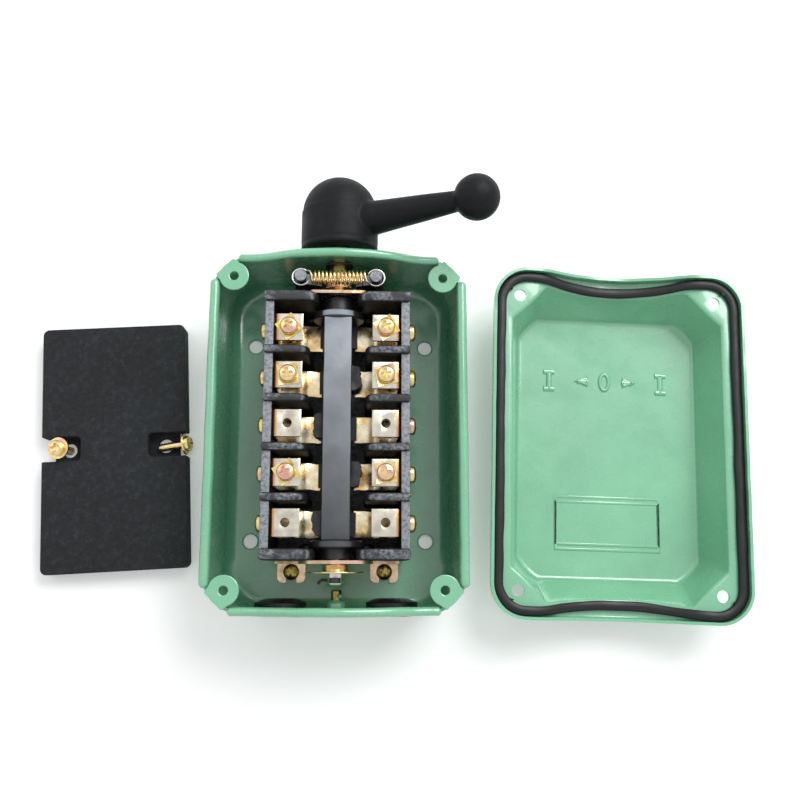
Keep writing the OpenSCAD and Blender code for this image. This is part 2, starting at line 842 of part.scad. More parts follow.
// Split pin through the shaft, its eye in front and one leg bent out behind
module cotter_pin() {
    z1 = shaft_r + pin_gap;
    z0 = -z1 - pin_leg_r;
    color("#3a3a3c") translate([0, board_y[0] - pin_y, shaft_z]) {
        translate([0, 0, z0]) cylinder(r = pin_r, h = z1 + pin_r - z0);
        translate([0, 0, z0]) rotate([0, -90, 0]) cylinder(r = pin_leg_r, h = pin_leg_l + pin_r);
        translate([-pin_leg_l - pin_r, 0, z0]) rotate([0, 0, pin_bend]) rotate([0, -90, 0])
            cylinder(r = pin_leg_r, h = pin_bent_l);
        translate([0, 0, z1 + pin_eye_r]) difference() {
            rod_y(pin_eye_r, -pin_eye_t / 2, pin_eye_t / 2);
            rod_y(pin_eye_hole, -pin_eye_t, pin_eye_t);
        }
    }
}

// Handle: hub with a dome, tapered arm and ball, turned about the shaft

module handle() {
    dome = [for (i = [0:dome_steps]) let (a = 90 * i / dome_steps)
        [(hub_r - skirt_step) * cos(a), hub_straight + hub_dome * sin(a)]];
    color("#17171a") difference() {
        translate([0, 0, shaft_z]) {
            translate([0, hub_y0, 0]) rotate([-90, 0, 0]) rotate_extrude($fn = 64)
                polygon(concat([[0, 0], [hub_r, 0], [hub_r, hub_straight]], dome));
            translate([0, arm_y, 0]) rotate([0, handle_turn, 0]) {
                cylinder(r1 = arm_r0 * arm_root_share, r2 = arm_r1, h = arm_l - ball_r + arm_in_ball);
                translate([0, 0, arm_l]) sphere(ball_r);
            }
        }
        rod_y(shaft_r, hub_y0 - over, hub_y0 + shaft_in_hub, 0, shaft_z);
    }
}

// Detent levers, their pins and the spring that draws them together

module lever() {
    difference() {
        union() {
            slab_y(lever_y - lever_t / 2, lever_y + lever_t / 2) {
                translate([lever_x, lever_z]) circle(lever_boss_r);
                polygon([[lever_x - lever_w / 2, lever_z], [lever_x + lever_w / 2, lever_z],
                    [post_x + post_cap_r, spring_z - post_cap_r - wire_r],
                    [post_x - post_cap_r, spring_z - post_cap_r - wire_r],
                    [nose_x0, shaft_z + nose_h / 2], [nose_x0, shaft_z - nose_h / 2]]);
            }
            translate([post_x, lever_y, spring_z - post_cap_r - wire_r - sliver])
                cylinder(r = post_r, h = post_cap_r + 2 * wire_r + post_cap_h);
            translate([post_x, lever_y, spring_z + wire_r + run_gap])
                cylinder(r = post_cap_r, h = post_cap_h);
        }
        rod_y(lever_pin_r + fit, lever_y - lever_t, lever_y + lever_t, lever_x, lever_z);
    }
}

module right_lever() {
    color(bakelite) lever();
}

module left_lever() {
    color(bakelite) mirror([1, 0, 0]) lever();
}

module lever_pins() {
    y1 = lever_y + lever_t / 2 + run_gap;
    color(zinc) for (s = sides) {
        rod_y(lever_pin_r, board_y[1], y1 + sliver, s * lever_x, lever_z);
        rod_y(lever_pin_head_r, y1, y1 + lever_pin_head_t, s * lever_x, lever_z);
        rod_y(lever_pin_head_r, board_y[1] + bracket_t, lever_y - lever_t / 2 - run_gap,
            s * lever_x, lever_z);
    }
}

// Centre line of the spring: the coil, with a hook round each post
coil_points = [for (i = [0:coils * coil_rings]) let (a = 90 + 360 * i / coil_rings)
    [coil_l * (i / (coils * coil_rings) - 0.5), coil_r * cos(a), coil_r * sin(a)]];
hook_start = asin(coil_r / hook_r);
hook_lead = (post_x - coil_l / 2 - hook_r * cos(hook_start)) / 2;
hook_bend_shares = [[0.55, 0.7, 0.78], [1.3, 0.98, 0.3]];
hook_points = concat(
    [for (q = hook_bend_shares) [-coil_l / 2 - hook_lead * q[0], coil_r * q[1], coil_r * q[2]]],
    [for (i = [0:hook_rings]) let (a = hook_start + hook_sweep * i / hook_rings)
        [-post_x + hook_r * cos(a), hook_r * sin(a), 0]]);
spring_points = concat(
    [for (i = [len(hook_points) - 1:-1:0]) hook_points[i]],
    coil_points,
    [for (p = hook_points) [-p[0], -p[1], p[2]]]);

function unit(v) = v / norm(v);
function heading(p, i) = unit(p[min(i + 1, len(p) - 1)] - p[max(i - 1, 0)]);
function across(v, t) = unit(v - (v * t) * t);

// Round tube along a list of points
module tube(p, r) {
    t = [for (i = [0:len(p) - 1]) heading(p, i)];
    n = [for (i = 0, v = across([0, 0, 1], t[0]); i < len(p); i = i + 1,
        v = across(v, t[min(i, len(p) - 1)])) v];
    points = [for (i = [0:len(p) - 1]) let (b = cross(t[i], n[i]))
        for (j = [0:tube_sides - 1]) let (a = 360 * j / tube_sides)
            p[i] + r * (cos(a) * n[i] + sin(a) * b)];
    m = tube_sides;
    walls = [for (i = [0:len(p) - 2]) for (j = [0:m - 1]) let (k = (j + 1) % m)
        for (f = [[i * m + j, (i + 1) * m + j, i * m + k],
            [i * m + k, (i + 1) * m + j, (i + 1) * m + k]]) f];
    last = (len(p) - 1) * m;
    caps = [for (j = [1:m - 2]) for (f = [[0, j, j + 1], [last, last + j + 1, last + j]]) f];
    polyhedron(points = points, faces = concat(walls, caps));
}

least_gap = min([for (i = [0:len(spring_points) - 1]) for (j = [i + gap_skip:len(spring_points) - 1])
    if (j < len(spring_points)) norm(spring_points[i] - spring_points[j])]) - 2 * wire_r;

module detent_spring() {
    echo(least_gap_of_the_spring = least_gap);
    color([0.86, 0.72, 0.50]) translate([0, lever_y, spring_z]) tube(spring_points, wire_r);
}

// Lid, drawn about its own middle with its inside up

module lid_place() {
    rotate(lid_skew / 2) translate([lid_away, 0, 0]) rotate(lid_skew / 2) children();
}

// Eight-sided outline with cut corners
module cut_corners(hx, hy, c) {
    polygon([for (q = [[1, 1], [-1, 1], [-1, -1], [1, -1]]) for (e = q[0] * q[1] > 0 ? [0, 1] : [1, 0])
        [q[0] * (hx - (e == 0 ? 0 : c)), q[1] * (hy - (e == 0 ? c : 0))]]);
}

module lid_dish(grow, z0) {
    hull() {
        translate([0, 0, z0]) linear_extrude(sliver)
            cut_corners(panel_x + grow, panel_y + grow, panel_cut);
        translate([0, 0, ledge_z]) linear_extrude(sliver)
            cut_corners(hollow_x1 + grow, hollow_y1 + grow, hollow_cut);
    }
}

module lid_shell() {
    color(paint) lid_place() difference() {
        union() {
            intersection() {
                lid_dish(sheet_t, 0);
                slab_y(-base_l, base_l) below_dip(ledge_z);
            }
            intersection() {
                linear_extrude(ledge_z + over) rounded(lid_x1, lid_y1, lid_corner_r);
                slab_y(-base_l, base_l) difference() {
                    below_dip(ledge_z);
                    translate([0, -sheet_t]) below_dip(ledge_z);
                }
            }
            intersection() {
                linear_extrude(ledge_z + skirt_h + over) difference() {
                    rounded(lid_x1, lid_y1, lid_corner_r);
                    rounded(lid_x1 - sheet_t, lid_y1 - sheet_t, lid_corner_r - sheet_t);
                }
                slab_y(-base_l, base_l) difference() {
                    translate([0, skirt_h]) below_dip(ledge_z);
                    translate([0, -sheet_t]) below_dip(ledge_z);
                }
            }
        }
        difference() {
            lid_dish(0, sheet_t);
            translate([0, 0, sheet_t - over]) linear_extrude(emboss_d + over) difference() {
                translate([-emboss_x, emboss_y[0]]) square([2 * emboss_x, emboss_y[1] - emboss_y[0]]);
                translate([-emboss_x + emboss_band, emboss_y[0] + emboss_band])
                    square([2 * (emboss_x - emboss_band), emboss_y[1] - emboss_y[0] - 2 * emboss_band]);
            }
        }
        for (sx = sides, sy = sides) translate([sx * lug_dx / 2, sy * lug_dy / 2, ledge_z - sheet_t - over])
            cylinder(r = lid_hole_r, h = sheet_t + 2 * over);
    }
}

module lid_gasket() {
    out_x = lid_x1 - sheet_t - gasket_seat;
    out_y = lid_y1 - sheet_t - gasket_seat;
    out_r = lid_corner_r - sheet_t - gasket_seat;
    color("#2b2b2e") lid_place() intersection() {
        linear_extrude(base_h) difference() {
            rounded(out_x, out_y, out_r);
            rounded(out_x - gasket_w, out_y - gasket_w, out_r - gasket_w);
        }
        slab_y(-base_l, base_l) difference() {
            translate([0, gasket_t]) below_dip(ledge_z);
            below_dip(ledge_z);
        }
    }
}

// Insulating cover with its two loose screws, drawn about its own middle

module cover_place() {
    translate([cover_x, cover_y, 0]) rotate(cover_skew) children();
}

module insulating_cover() {
    pocket_x = cover_w / 2 - pocket_l;
    color("#2e3033") cover_place() difference() {
        union() {
            difference() {
                linear_extrude(cover_h) rounded(cover_w / 2, cover_l / 2, cover_r);
                translate([0, 0, -over]) linear_extrude(cover_h - cover_t + over)
                    rounded(cover_w / 2 - cover_t, cover_l / 2 - cover_t, cover_r - cover_t / 2);
            }
            for (s = sides) scale([s, 1, 1])
                block([pocket_x - pocket_wall, -pocket_w / 2 - pocket_wall, 0],
                    [cover_w / 2 - sliver, pocket_w / 2 + pocket_wall, cover_h - sliver]);
        }
        for (s = sides) scale([s, 1, 1]) {
            translate([pocket_x + pocket_round, -pocket_w / 2, pocket_floor])
                cube([pocket_l, pocket_w, cover_h]);
            translate([pocket_x, -pocket_w / 2 + pocket_round, pocket_floor])
                cube([pocket_l, pocket_w - 2 * pocket_round, cover_h]);
            for (e = sides)
                translate([pocket_x + pocket_round, e * (pocket_w / 2 - pocket_round), pocket_floor])
                    cylinder(r = pocket_round, h = cover_h);
            translate([pocket_x + pocket_hole_x, 0, -over]) cylinder(r = pocket_hole_r, h = cover_h);
            translate([cover_w / 2 - pocket_notch, -pocket_w / 2, -over])
                cube([pocket_l, pocket_w, cover_h]);
        }
    }
}

// One screw stands on its tip in the left hole, the other lies in the right pocket
standing_l = cover_screw_l - cover_washer_t;
standing_z = screw_r * sin(standing_tilt) + fit;
lying_z = cover_washer_r * cos(lying_tilt) + fit;

module cover_screw_places() {
    translate([-cover_w / 2 + pocket_l - pocket_hole_x, 0, standing_z]) rotate([0, -standing_tilt, 0])
        translate([0, 0, standing_l]) children();
    translate([cover_w / 2 - pocket_l + lying_x, 0, lying_z])
        rotate([0, 90 - lying_tilt, lying_turn]) children();
}

module cover_screws() {
    color(zinc) cover_place() cover_screw_places()
        translate([0, 0, cover_washer_t]) pan_screw(cover_screw_l);
}

module cover_washers() {
    color(zinc) cover_place() cover_screw_places() difference() {
        cylinder(r = cover_washer_r, h = cover_washer_t);
        translate([0, 0, -over]) cylinder(r = screw_r, h = cover_washer_t + 2 * over);
    }
}

base_shell();
lid_lugs();
cable_plugs();
earth_screw();
earth_nut();
top_bracket();
bottom_bracket();
bracket_screws();
board_screws();
left_contact_board();
right_contact_board();
contact_screws();
for (k = [1:rows]) left_contact(k);
for (k = [1:rows]) right_contact(k);
terminal_screws();
terminal_washers();
shaft();
drum();
moving_contacts();
detent_cam();
retaining_ring();
shaft_washer();
cotter_pin();
handle();
left_lever();
right_lever();
lever_pins();
detent_spring();
lid_shell();
lid_gasket();
insulating_cover();
cover_screws();
cover_washers();
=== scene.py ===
import json
import math

import bmesh
import bpy
from mathutils import Matrix, Vector, noise


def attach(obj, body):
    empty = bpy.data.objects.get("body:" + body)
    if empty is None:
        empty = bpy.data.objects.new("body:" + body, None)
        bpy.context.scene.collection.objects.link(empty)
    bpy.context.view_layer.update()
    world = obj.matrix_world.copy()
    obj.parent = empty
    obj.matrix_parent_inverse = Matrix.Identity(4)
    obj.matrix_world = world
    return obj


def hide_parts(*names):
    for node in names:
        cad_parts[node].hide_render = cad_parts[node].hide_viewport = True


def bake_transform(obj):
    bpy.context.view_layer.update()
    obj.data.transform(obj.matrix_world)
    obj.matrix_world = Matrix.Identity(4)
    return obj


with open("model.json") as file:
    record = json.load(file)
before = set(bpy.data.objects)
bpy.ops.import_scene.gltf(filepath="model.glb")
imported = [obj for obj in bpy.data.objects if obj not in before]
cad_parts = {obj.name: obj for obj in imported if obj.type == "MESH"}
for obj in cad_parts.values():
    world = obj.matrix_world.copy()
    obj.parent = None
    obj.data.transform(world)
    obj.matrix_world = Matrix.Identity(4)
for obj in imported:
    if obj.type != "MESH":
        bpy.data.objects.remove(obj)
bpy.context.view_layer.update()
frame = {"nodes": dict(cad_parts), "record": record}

mm = 0.001
bodyOf = {node: body for body, members in frame["record"]["behaviour"]["bodies"].items() for node in members}
slotOf = {part["node"]: part["material_slot"] for part in frame["record"]["subparts"]}


def tone(red, green, blue):
    # a colour as it is seen, from 0 to 255, for a shader's socket
    channels = [c / 255 for c in (red, green, blue)]
    return (*[c / 12.92 if c < 0.04045 else ((c + 0.055) / 1.055) ** 2.4 for c in channels], 1)


# Finishes

def dial(node, **values):
    # sets a node's sockets by their names, with _ for a space
    for name, value in values.items():
        node.inputs[name.replace("_", " ")].default_value = value


def startFinish(name, roughness, metallic=0.0, specular=0.5):
    material = bpy.data.materials.new(name)
    material.use_nodes = True
    tree = material.node_tree
    shader = tree.nodes["Principled BSDF"]
    dial(shader, Roughness=roughness, Metallic=metallic, Specular_IOR_Level=specular)
    return material, tree, shader


def surfacePoint(tree, output="Object"):
    return tree.nodes.new("ShaderNodeTexCoord").outputs[output]


def grain(tree, scale, detail=3.0, rough=0.5, distortion=0.0, stretch=(1, 1, 1)):
    mapping = tree.nodes.new("ShaderNodeMapping")
    dial(mapping, Scale=stretch)
    tree.links.new(surfacePoint(tree), mapping.inputs["Vector"])
    node = tree.nodes.new("ShaderNodeTexNoise")
    dial(node, Scale=scale, Detail=detail, Roughness=rough, Distortion=distortion)
    tree.links.new(mapping.outputs["Vector"], node.inputs["Vector"])
    return node.outputs["Fac"]


def cells(tree, scale):
    node = tree.nodes.new("ShaderNodeTexVoronoi")
    dial(node, Scale=scale)
    tree.links.new(surfacePoint(tree), node.inputs["Vector"])
    return node.outputs["Distance"]


def ramp(tree, factor, stops):
    node = tree.nodes.new("ShaderNodeValToRGB")
    marks = node.color_ramp.elements
    while len(marks) < len(stops):
        marks.new(0.5)
    for mark, (place, color) in zip(marks, stops):
        mark.position = place
        mark.color = color if isinstance(color, tuple) else (color, color, color, 1)
    tree.links.new(factor, node.inputs["Fac"])
    return node.outputs["Color"]


def mix(tree, factor, first, second, blend="MIX"):
    node = tree.nodes.new("ShaderNodeMix")
    node.data_type = "RGBA"
    node.blend_type = blend
    for value, socket in ((factor, "Factor"), (first, 6), (second, 7)):
        if isinstance(value, (int, float, tuple)):
            node.inputs[socket].default_value = value
        else:
            tree.links.new(value, node.inputs[socket])
    return node.outputs[2]


def multiply(tree, first, second):
    return mix(tree, 1.0, first, second, "MULTIPLY")


def paint(tree, shader, color):
    tree.links.new(color, shader.inputs["Base Color"])


def axisValue(tree, output, axis):
    split = tree.nodes.new("ShaderNodeSeparateXYZ")
    tree.links.new(surfacePoint(tree, output), split.inputs["Vector"])
    return split.outputs[axis]


def mathValue(tree, operation, *values):
    node = tree.nodes.new("ShaderNodeMath")
    node.operation = operation
    for socket, value in zip(node.inputs, values):
        if isinstance(value, float):
            socket.default_value = value
        else:
            tree.links.new(value, socket)
    return node.outputs[0]


def frontMask(tree, low, high):
    # 1 on faces that look out of the box, 0 elsewhere
    return ramp(tree, axisValue(tree, "Normal", "Z"), [(low, 0), (high, 1)])


def placeMask(tree, axis, low, high, start=0.0, end=1.0):
    # goes from one value to the other between two places in mm along an axis
    value = axisValue(tree, "Object", axis[-1])
    if len(axis) > 1:                        # -X stands for the distance from the middle
        value = mathValue(tree, "ABSOLUTE", value)
    span = tree.nodes.new("ShaderNodeMapRange")
    dial(span, From_Min=low * mm, From_Max=high * mm, To_Min=start, To_Max=end)
    tree.links.new(value, span.inputs["Value"])
    return span.outputs["Result"]


def relief(tree, shader, *layers):
    # each layer is a height, its strength and its depth in mm
    below = None
    for height, strength, depth in layers:
        bump = tree.nodes.new("ShaderNodeBump")
        dial(bump, Strength=strength, Distance=depth * mm)
        tree.links.new(height, bump.inputs["Height"])
        if below is not None:
            tree.links.new(below, bump.inputs["Normal"])
        below = bump.outputs["Normal"]
    tree.links.new(below, shader.inputs["Normal"])


def varyGloss(tree, shader, factor, low, high):
    tree.links.new(ramp(tree, factor, [(0.3, low), (0.7, high)]), shader.inputs["Roughness"])


enamel = {
    "shade": tone(110, 178, 140), "body": tone(117, 187, 148), "light": tone(124, 195, 155),
    "roughness": 0.3, "coat": 1.0, "specular": 0.75, "peel": 420, "pits": 150,
}


def greenEnamel():
    material, tree, shader = startFinish("greenEnamel", enamel["roughness"])
    clouds = grain(tree, 24, 3, 0.55)
    body = ramp(tree, clouds, [(0.3, enamel["shade"]), (0.5, enamel["body"]), (0.72, enamel["light"])])
    specks = ramp(tree, grain(tree, 2400, 2), [(0.35, 0.9), (0.6, 1.0), (0.8, 1.06)])
    paint(tree, shader, multiply(tree, body, specks))
    varyGloss(tree, shader, grain(tree, 120, 3), 0.2, 0.34)
    dial(shader, Specular_IOR_Level=enamel["specular"], Coat_Weight=enamel["coat"], Coat_Roughness=0.12)
    pits = ramp(tree, cells(tree, enamel["pits"]), [(0.03, 0), (0.09, 1)])
    relief(tree, shader, (grain(tree, enamel["peel"], 2), 0.3, 0.1), (grain(tree, 60, 1), 0.3, 0.4),
           (pits, 0.08, 0.06))
    return material


bakelite = {"deep": tone(14, 14, 15), "dull": tone(26, 26, 28), "wallSheen": tone(150, 156, 162),
            "wallSheenLow": tone(92, 96, 102), "ribSheen": tone(138, 143, 149), "ribSheenLow": tone(50, 52, 56)}


def blackBakelite():
    # the up-facing fronts are painted grey with sparkle, a painted sheen and glints of the light on their
    # rough tops; the moulded sides stay black
    material, tree, shader = startFinish("blackBakelite", 0.5, specular=0.35)
    fine = grain(tree, 1500, 3, 0.6)
    sides = ramp(tree, fine, [(0.35, bakelite["deep"]), (0.75, bakelite["dull"])])
    rough = grain(tree, 800, 5, 0.75)
    wallSheen = ramp(tree, rough, [(0.36, bakelite["wallSheenLow"]), (0.56, bakelite["wallSheen"])])
    ribSheen = ramp(tree, rough, [(0.42, bakelite["ribSheenLow"]), (0.62, bakelite["ribSheen"])])
    smear = ramp(tree, grain(tree, 170, 2), [(0.4, 0), (0.56, 1)])
    ribSheen = mix(tree, smear, bakelite["ribSheenLow"], ribSheen)
    # painted sheen: walls and ribs are grey and glinting on the faces that look up, black on their sides
    paintedSheen = mix(tree, placeMask(tree, "Z", 47.8, 48.1), wallSheen, ribSheen)
    paint(tree, shader, mix(tree, frontMask(tree, 0.62, 0.86), sides, paintedSheen))
    varyGloss(tree, shader, fine, 0.38, 0.62)
    relief(tree, shader, (grain(tree, 700, 4, 0.7), 0.6, 0.3), (grain(tree, 120, 2), 0.3, 0.3))
    return material


drumFinish = {"dark": tone(20, 20, 23), "rough": tone(40, 41, 45), "bar": tone(122, 127, 133),
              "barDark": tone(92, 97, 103), "face": (42.8, 43.2), "fade": (-42, 43, 0.32, 2.1)}


def drumMoulding():
    # the bar's moulded face is grey, with a painted reflection that brightens it towards its upper end;
    # everything else on the drum is black
    material, tree, shader = startFinish("drumMoulding", 0.42, specular=0.5)
    smooth = ramp(tree, grain(tree, 60, 4), [(0.3, drumFinish["barDark"]), (0.7, drumFinish["bar"])])
    specks = ramp(tree, cells(tree, 380), [(0.05, 1.35), (0.11, 1.0)])
    scratch = ramp(tree, grain(tree, 60, 5, 0.6, 0.4, (6, 0.5, 1)), [(0.28, 0.72), (0.36, 1.0)])
    face = multiply(tree, multiply(tree, smooth, specks), scratch)
    # painted reflection: the face darkens towards its lower end and brightens towards its upper end
    face = multiply(tree, face, placeMask(tree, "Y", *drumFinish["fade"]))
    black = ramp(tree, grain(tree, 700, 4, 0.7), [(0.4, drumFinish["dark"]), (0.7, drumFinish["rough"])])
    front = mix(tree, frontMask(tree, 0.6, 0.9), (0, 0, 0, 1), placeMask(tree, "Z", *drumFinish["face"]))
    paint(tree, shader, mix(tree, front, black, face))
    relief(tree, shader, (grain(tree, 900, 3), 0.2, 0.08), (grain(tree, 60, 3), 0.25, 0.25))
    return material


brass = {
    "gold": tone(240, 204, 142), "pale": tone(255, 244, 212), "brown": tone(176, 126, 76),
    "nickel": tone(222, 217, 203), "nickelDark": tone(188, 180, 164), "copper": tone(214, 160, 112),
}


def contactBrass():
    material, tree, shader = startFinish("contactBrass", 0.26, 1.0)
    gold = ramp(tree, grain(tree, 110, 3, 0.5, 1.2), [(0.26, brass["brown"]), (0.4, brass["gold"]),
                                                      (0.6, brass["pale"])])
    nickel = ramp(tree, grain(tree, 200, 3), [(0.3, brass["nickelDark"]), (0.6, brass["nickel"])])
    plated = mix(tree, placeMask(tree, "-X", 22.1, 22.5), nickel, brass["copper"])
    paint(tree, shader, mix(tree, placeMask(tree, "Z", 40, 43), gold, plated))
    varyGloss(tree, shader, grain(tree, 260, 3), 0.16, 0.36)
    relief(tree, shader, (grain(tree, 90, 2), 0.5, 0.3), (grain(tree, 600, 2), 0.12, 0.08))
    return material


passivate = {
    "yellow": tone(226, 196, 112), "straw": tone(238, 218, 160), "pink": tone(222, 168, 158),
    "green": tone(176, 196, 124), "brown": tone(150, 108, 62),
}


springFilm = {"stops": [(0.3, tone(196, 128, 96)), (0.45, tone(240, 214, 150)), (0.7, tone(250, 240, 200))],
              "loops": (10.4, 11.4), "bare": tone(244, 242, 236)}


def yellowZinc(name, stops, scale=150, roughness=0.24):
    # rainbow film of passivated zinc: colour drifts over a few millimetres
    material, tree, shader = startFinish(name, roughness, 1.0)
    paint(tree, shader, ramp(tree, grain(tree, scale, 2, 0.5, 0.8), stops))
    varyGloss(tree, shader, grain(tree, 420, 3), 0.16, 0.36)
    relief(tree, shader, (grain(tree, 350, 3), 0.25, 0.12), (grain(tree, 1400, 2), 0.1, 0.05))
    return material


def springWire():
    # the coils are yellow and pink, the loops near-white
    material, tree, shader = startFinish("springWire", 0.2, 1.0)
    film = ramp(tree, grain(tree, 260, 2, 0.5, 0.8), springFilm["stops"])
    paint(tree, shader, mix(tree, placeMask(tree, "-X", *springFilm["loops"]), film, springFilm["bare"]))
    return material


steel = {"dark": tone(190, 186, 176), "light": tone(236, 232, 222)}


def turnedSteel():
    material, tree, shader = startFinish("turnedSteel", 0.3, 1.0)
    body = ramp(tree, grain(tree, 200, 3, 0.5, 0, (1, 8, 1)), [(0.3, steel["dark"]), (0.7, steel["light"])])
    paint(tree, shader, mix(tree, placeMask(tree, "Y", 0, 1), body, passivate["yellow"]))
    relief(tree, shader, (grain(tree, 800, 2, 0.5, 0, (1, 12, 1)), 0.25, 0.05))
    return material


def blackPart(name, low, high, roughness, scale, specular=0.4, depth=0.1, strength=0.3):
    material, tree, shader = startFinish(name, roughness, specular=specular)
    paint(tree, shader, ramp(tree, grain(tree, scale, 4, 0.6), [(0.3, low), (0.7, high)]))
    varyGloss(tree, shader, grain(tree, scale / 3, 3), roughness - 0.06, roughness + 0.08)
    relief(tree, shader, (grain(tree, scale * 2, 3), strength, depth))
    return material


cover = {"dark": tone(30, 32, 34), "body": tone(38, 40, 43), "pale": tone(56, 59, 62)}


def fibreBoard():
    material, tree, shader = startFinish("fibreBoard", 0.75, specular=0.2)
    mottle = ramp(tree, grain(tree, 420, 6, 0.75), [(0.3, cover["dark"]), (0.52, cover["body"]),
                                                    (0.74, cover["pale"])])
    specks = ramp(tree, grain(tree, 1900, 2), [(0.6, 1.0), (0.75, 1.7)])
    clouds = ramp(tree, grain(tree, 30, 3), [(0.3, 0.86), (0.7, 1.12)])
    paint(tree, shader, multiply(tree, multiply(tree, mottle, specks), clouds))
    relief(tree, shader, (grain(tree, 900, 4, 0.7), 0.35, 0.15), (grain(tree, 40, 2), 0.2, 0.3))
    return material


finishes = {
    "green_paint": greenEnamel(),
    "black_rubber": blackPart("blackRubber", tone(10, 10, 11), tone(18, 18, 20), 0.42, 500, 0.45, 0.1, 0.3),
    "zinc_screw": yellowZinc("yellowZinc", [(0.28, passivate["brown"]), (0.4, passivate["yellow"]),
                                            (0.52, passivate["straw"]), (0.66, passivate["pink"]),
                                            (0.8, passivate["green"])]),
    "zinc_plate": yellowZinc("pinkZinc", [(0.3, tone(172, 132, 104)), (0.5, tone(220, 196, 166)),
                                          (0.7, tone(226, 184, 168))], 70),
    "black_bakelite": blackBakelite(),
    "contact_brass": contactBrass(),
    "dark_zinc": yellowZinc("darkZinc", [(0.3, tone(70, 56, 30)), (0.5, tone(150, 128, 66)),
                                         (0.7, tone(196, 180, 110))], 260, 0.3),
    "shaft_steel": turnedSteel(),
    "black_steel": blackPart("blackSteel", tone(22, 22, 26), tone(36, 36, 42), 0.35, 300, 0.6),
    "handle_plastic": blackPart("handleMoulding", tone(17, 18, 20), tone(24, 25, 28), 0.5, 500, 0.18,
                                0.08, 0.35),
    "spring_steel": springWire(),
    "cover_plastic": fibreBoard(),
}
drumGrey = drumMoulding()
print("finishes made")


# Making and placing pieces

def newPiece(bm, name, nodes, material=None, smoothAngle=38, pulledBy=None):
    # a finished mesh stands for the named CAD nodes and rides on their body
    nodes = [nodes] if isinstance(nodes, str) else nodes
    mesh = bpy.data.meshes.new(name)
    bm.to_mesh(mesh)
    bm.free()
    mesh.shade_smooth()
    mesh.set_sharp_from_angle(angle=math.radians(smoothAngle))
    piece = bpy.data.objects.new(name, mesh)
    bpy.context.scene.collection.objects.link(piece)
    mesh.materials.append(material or finishes[slotOf[nodes[0]]])
    if pulledBy:                             # with a pull given, the piece is baked in place and rides on no body
        tuple(Vector(pulledBy[1]) * mm)
        tuple(Vector(pulledBy[2]) * mm)
        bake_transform(piece)
    else:
        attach(piece, bodyOf[nodes[0]])
    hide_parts(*nodes)


def roundEdges(bm, edges, width, segments=2):
    bmesh.ops.bevel(bm, geom=edges, offset=width * mm, segments=segments, profile=0.5, affect="EDGES",
                    offset_type="OFFSET", clamp_overlap=True, material=-1)


def cutAcross(bm, axis, place, **options):
    # cuts the mesh by a plane at a place in mm along an axis, 0 for X to 2 for Z
    normal = [int(k == axis) for k in range(3)]
    return bmesh.ops.bisect_plane(bm, geom=bm.verts[:] + bm.edges[:] + bm.faces[:], dist=1e-7,
                                  plane_co=[place * mm * n for n in normal], plane_no=normal, **options)


def mirror(bm):
    bmesh.ops.scale(bm, vec=(-1, 1, 1), verts=bm.verts)
    bmesh.ops.reverse_faces(bm, faces=bm.faces)


def outward(vert):
    # direction away from the middle, level with the floor
    return Vector((vert.co.x, vert.co.y, 0)).normalized()


def softEdges(node, width, sharpAngle=32):
    # a merged copy of a CAD mesh with its sharp edges rounded
    bm = bmesh.new()
    bm.from_mesh(frame["nodes"][node].data)
    bmesh.ops.remove_doubles(bm, verts=bm.verts, dist=0.002 * mm)
    bmesh.ops.dissolve_limit(bm, angle_limit=math.radians(0.5), verts=bm.verts, edges=bm.edges)
    least = math.radians(sharpAngle)
    roundEdges(bm, [e for e in bm.edges if len(e.link_faces) == 2 and e.calc_face_angle() > least], width)
    return bm


def meshOf(bm, name="shape"):
    mesh = bpy.data.meshes.new(name)
    bm.to_mesh(mesh)
    bm.free()
    return mesh


def evaluated(obj):
    # the object's mesh with its modifiers applied, as a bmesh; the object goes
    bpy.context.view_layer.update()
    mesh = bpy.data.meshes.new_from_object(obj.evaluated_get(bpy.context.evaluated_depsgraph_get()))
    bm = bmesh.new()
    bm.from_mesh(mesh)
    bpy.data.objects.remove(obj)
    bpy.data.meshes.remove(mesh)
    return bm


def looseObject(data, name="shape"):
    obj = bpy.data.objects.new(name, data)
    bpy.context.scene.collection.objects.link(obj)
    return obj


def thicken(bm, thickness):
    # gives a skin the thickness of its sheet, towards its back
    shell = looseObject(meshOf(bm))
    wall = shell.modifiers.new("sheet", "SOLIDIFY")
    wall.thickness = thickness * mm
    wall.offset = -1
    return evaluated(shell)


def carve(bm, cutter):
    body, tool = looseObject(meshOf(bm)), looseObject(meshOf(cutter), "cutter")
    modifier = body.modifiers.new("carve", "BOOLEAN")
    modifier.object = tool
    modifier.solver = "EXACT"
    modifier.use_self = True
    result = evaluated(body)
    bpy.data.objects.remove(tool)
    return result


def addBox(bm, low, high):
    size = Vector(high) - Vector(low)
    place = Matrix.Translation((Vector(high) + Vector(low)) / 2 * mm)
    return bmesh.ops.create_cube(bm, size=1, matrix=place @ Matrix.Diagonal((*(size * mm), 1)))["verts"]


def addRod(bm, center, radius, depth, axis=(0, 0, 1), segments=32):
    turn = Vector((0, 0, 1)).rotation_difference(Vector(axis)).to_matrix().to_4x4()
    bmesh.ops.create_cone(bm, cap_ends=True, segments=segments, radius1=radius * mm, radius2=radius * mm,
                          depth=depth * mm, matrix=at(center) @ turn)


def at(place):
    return Matrix.Translation(Vector(place) * mm)


def fourRods(bm, x, y, z, radius, depth=8):
    for sx in (-1, 1):
        for sy in (-1, 1):
            addRod(bm, (sx * x, sy * y, z), radius, depth)


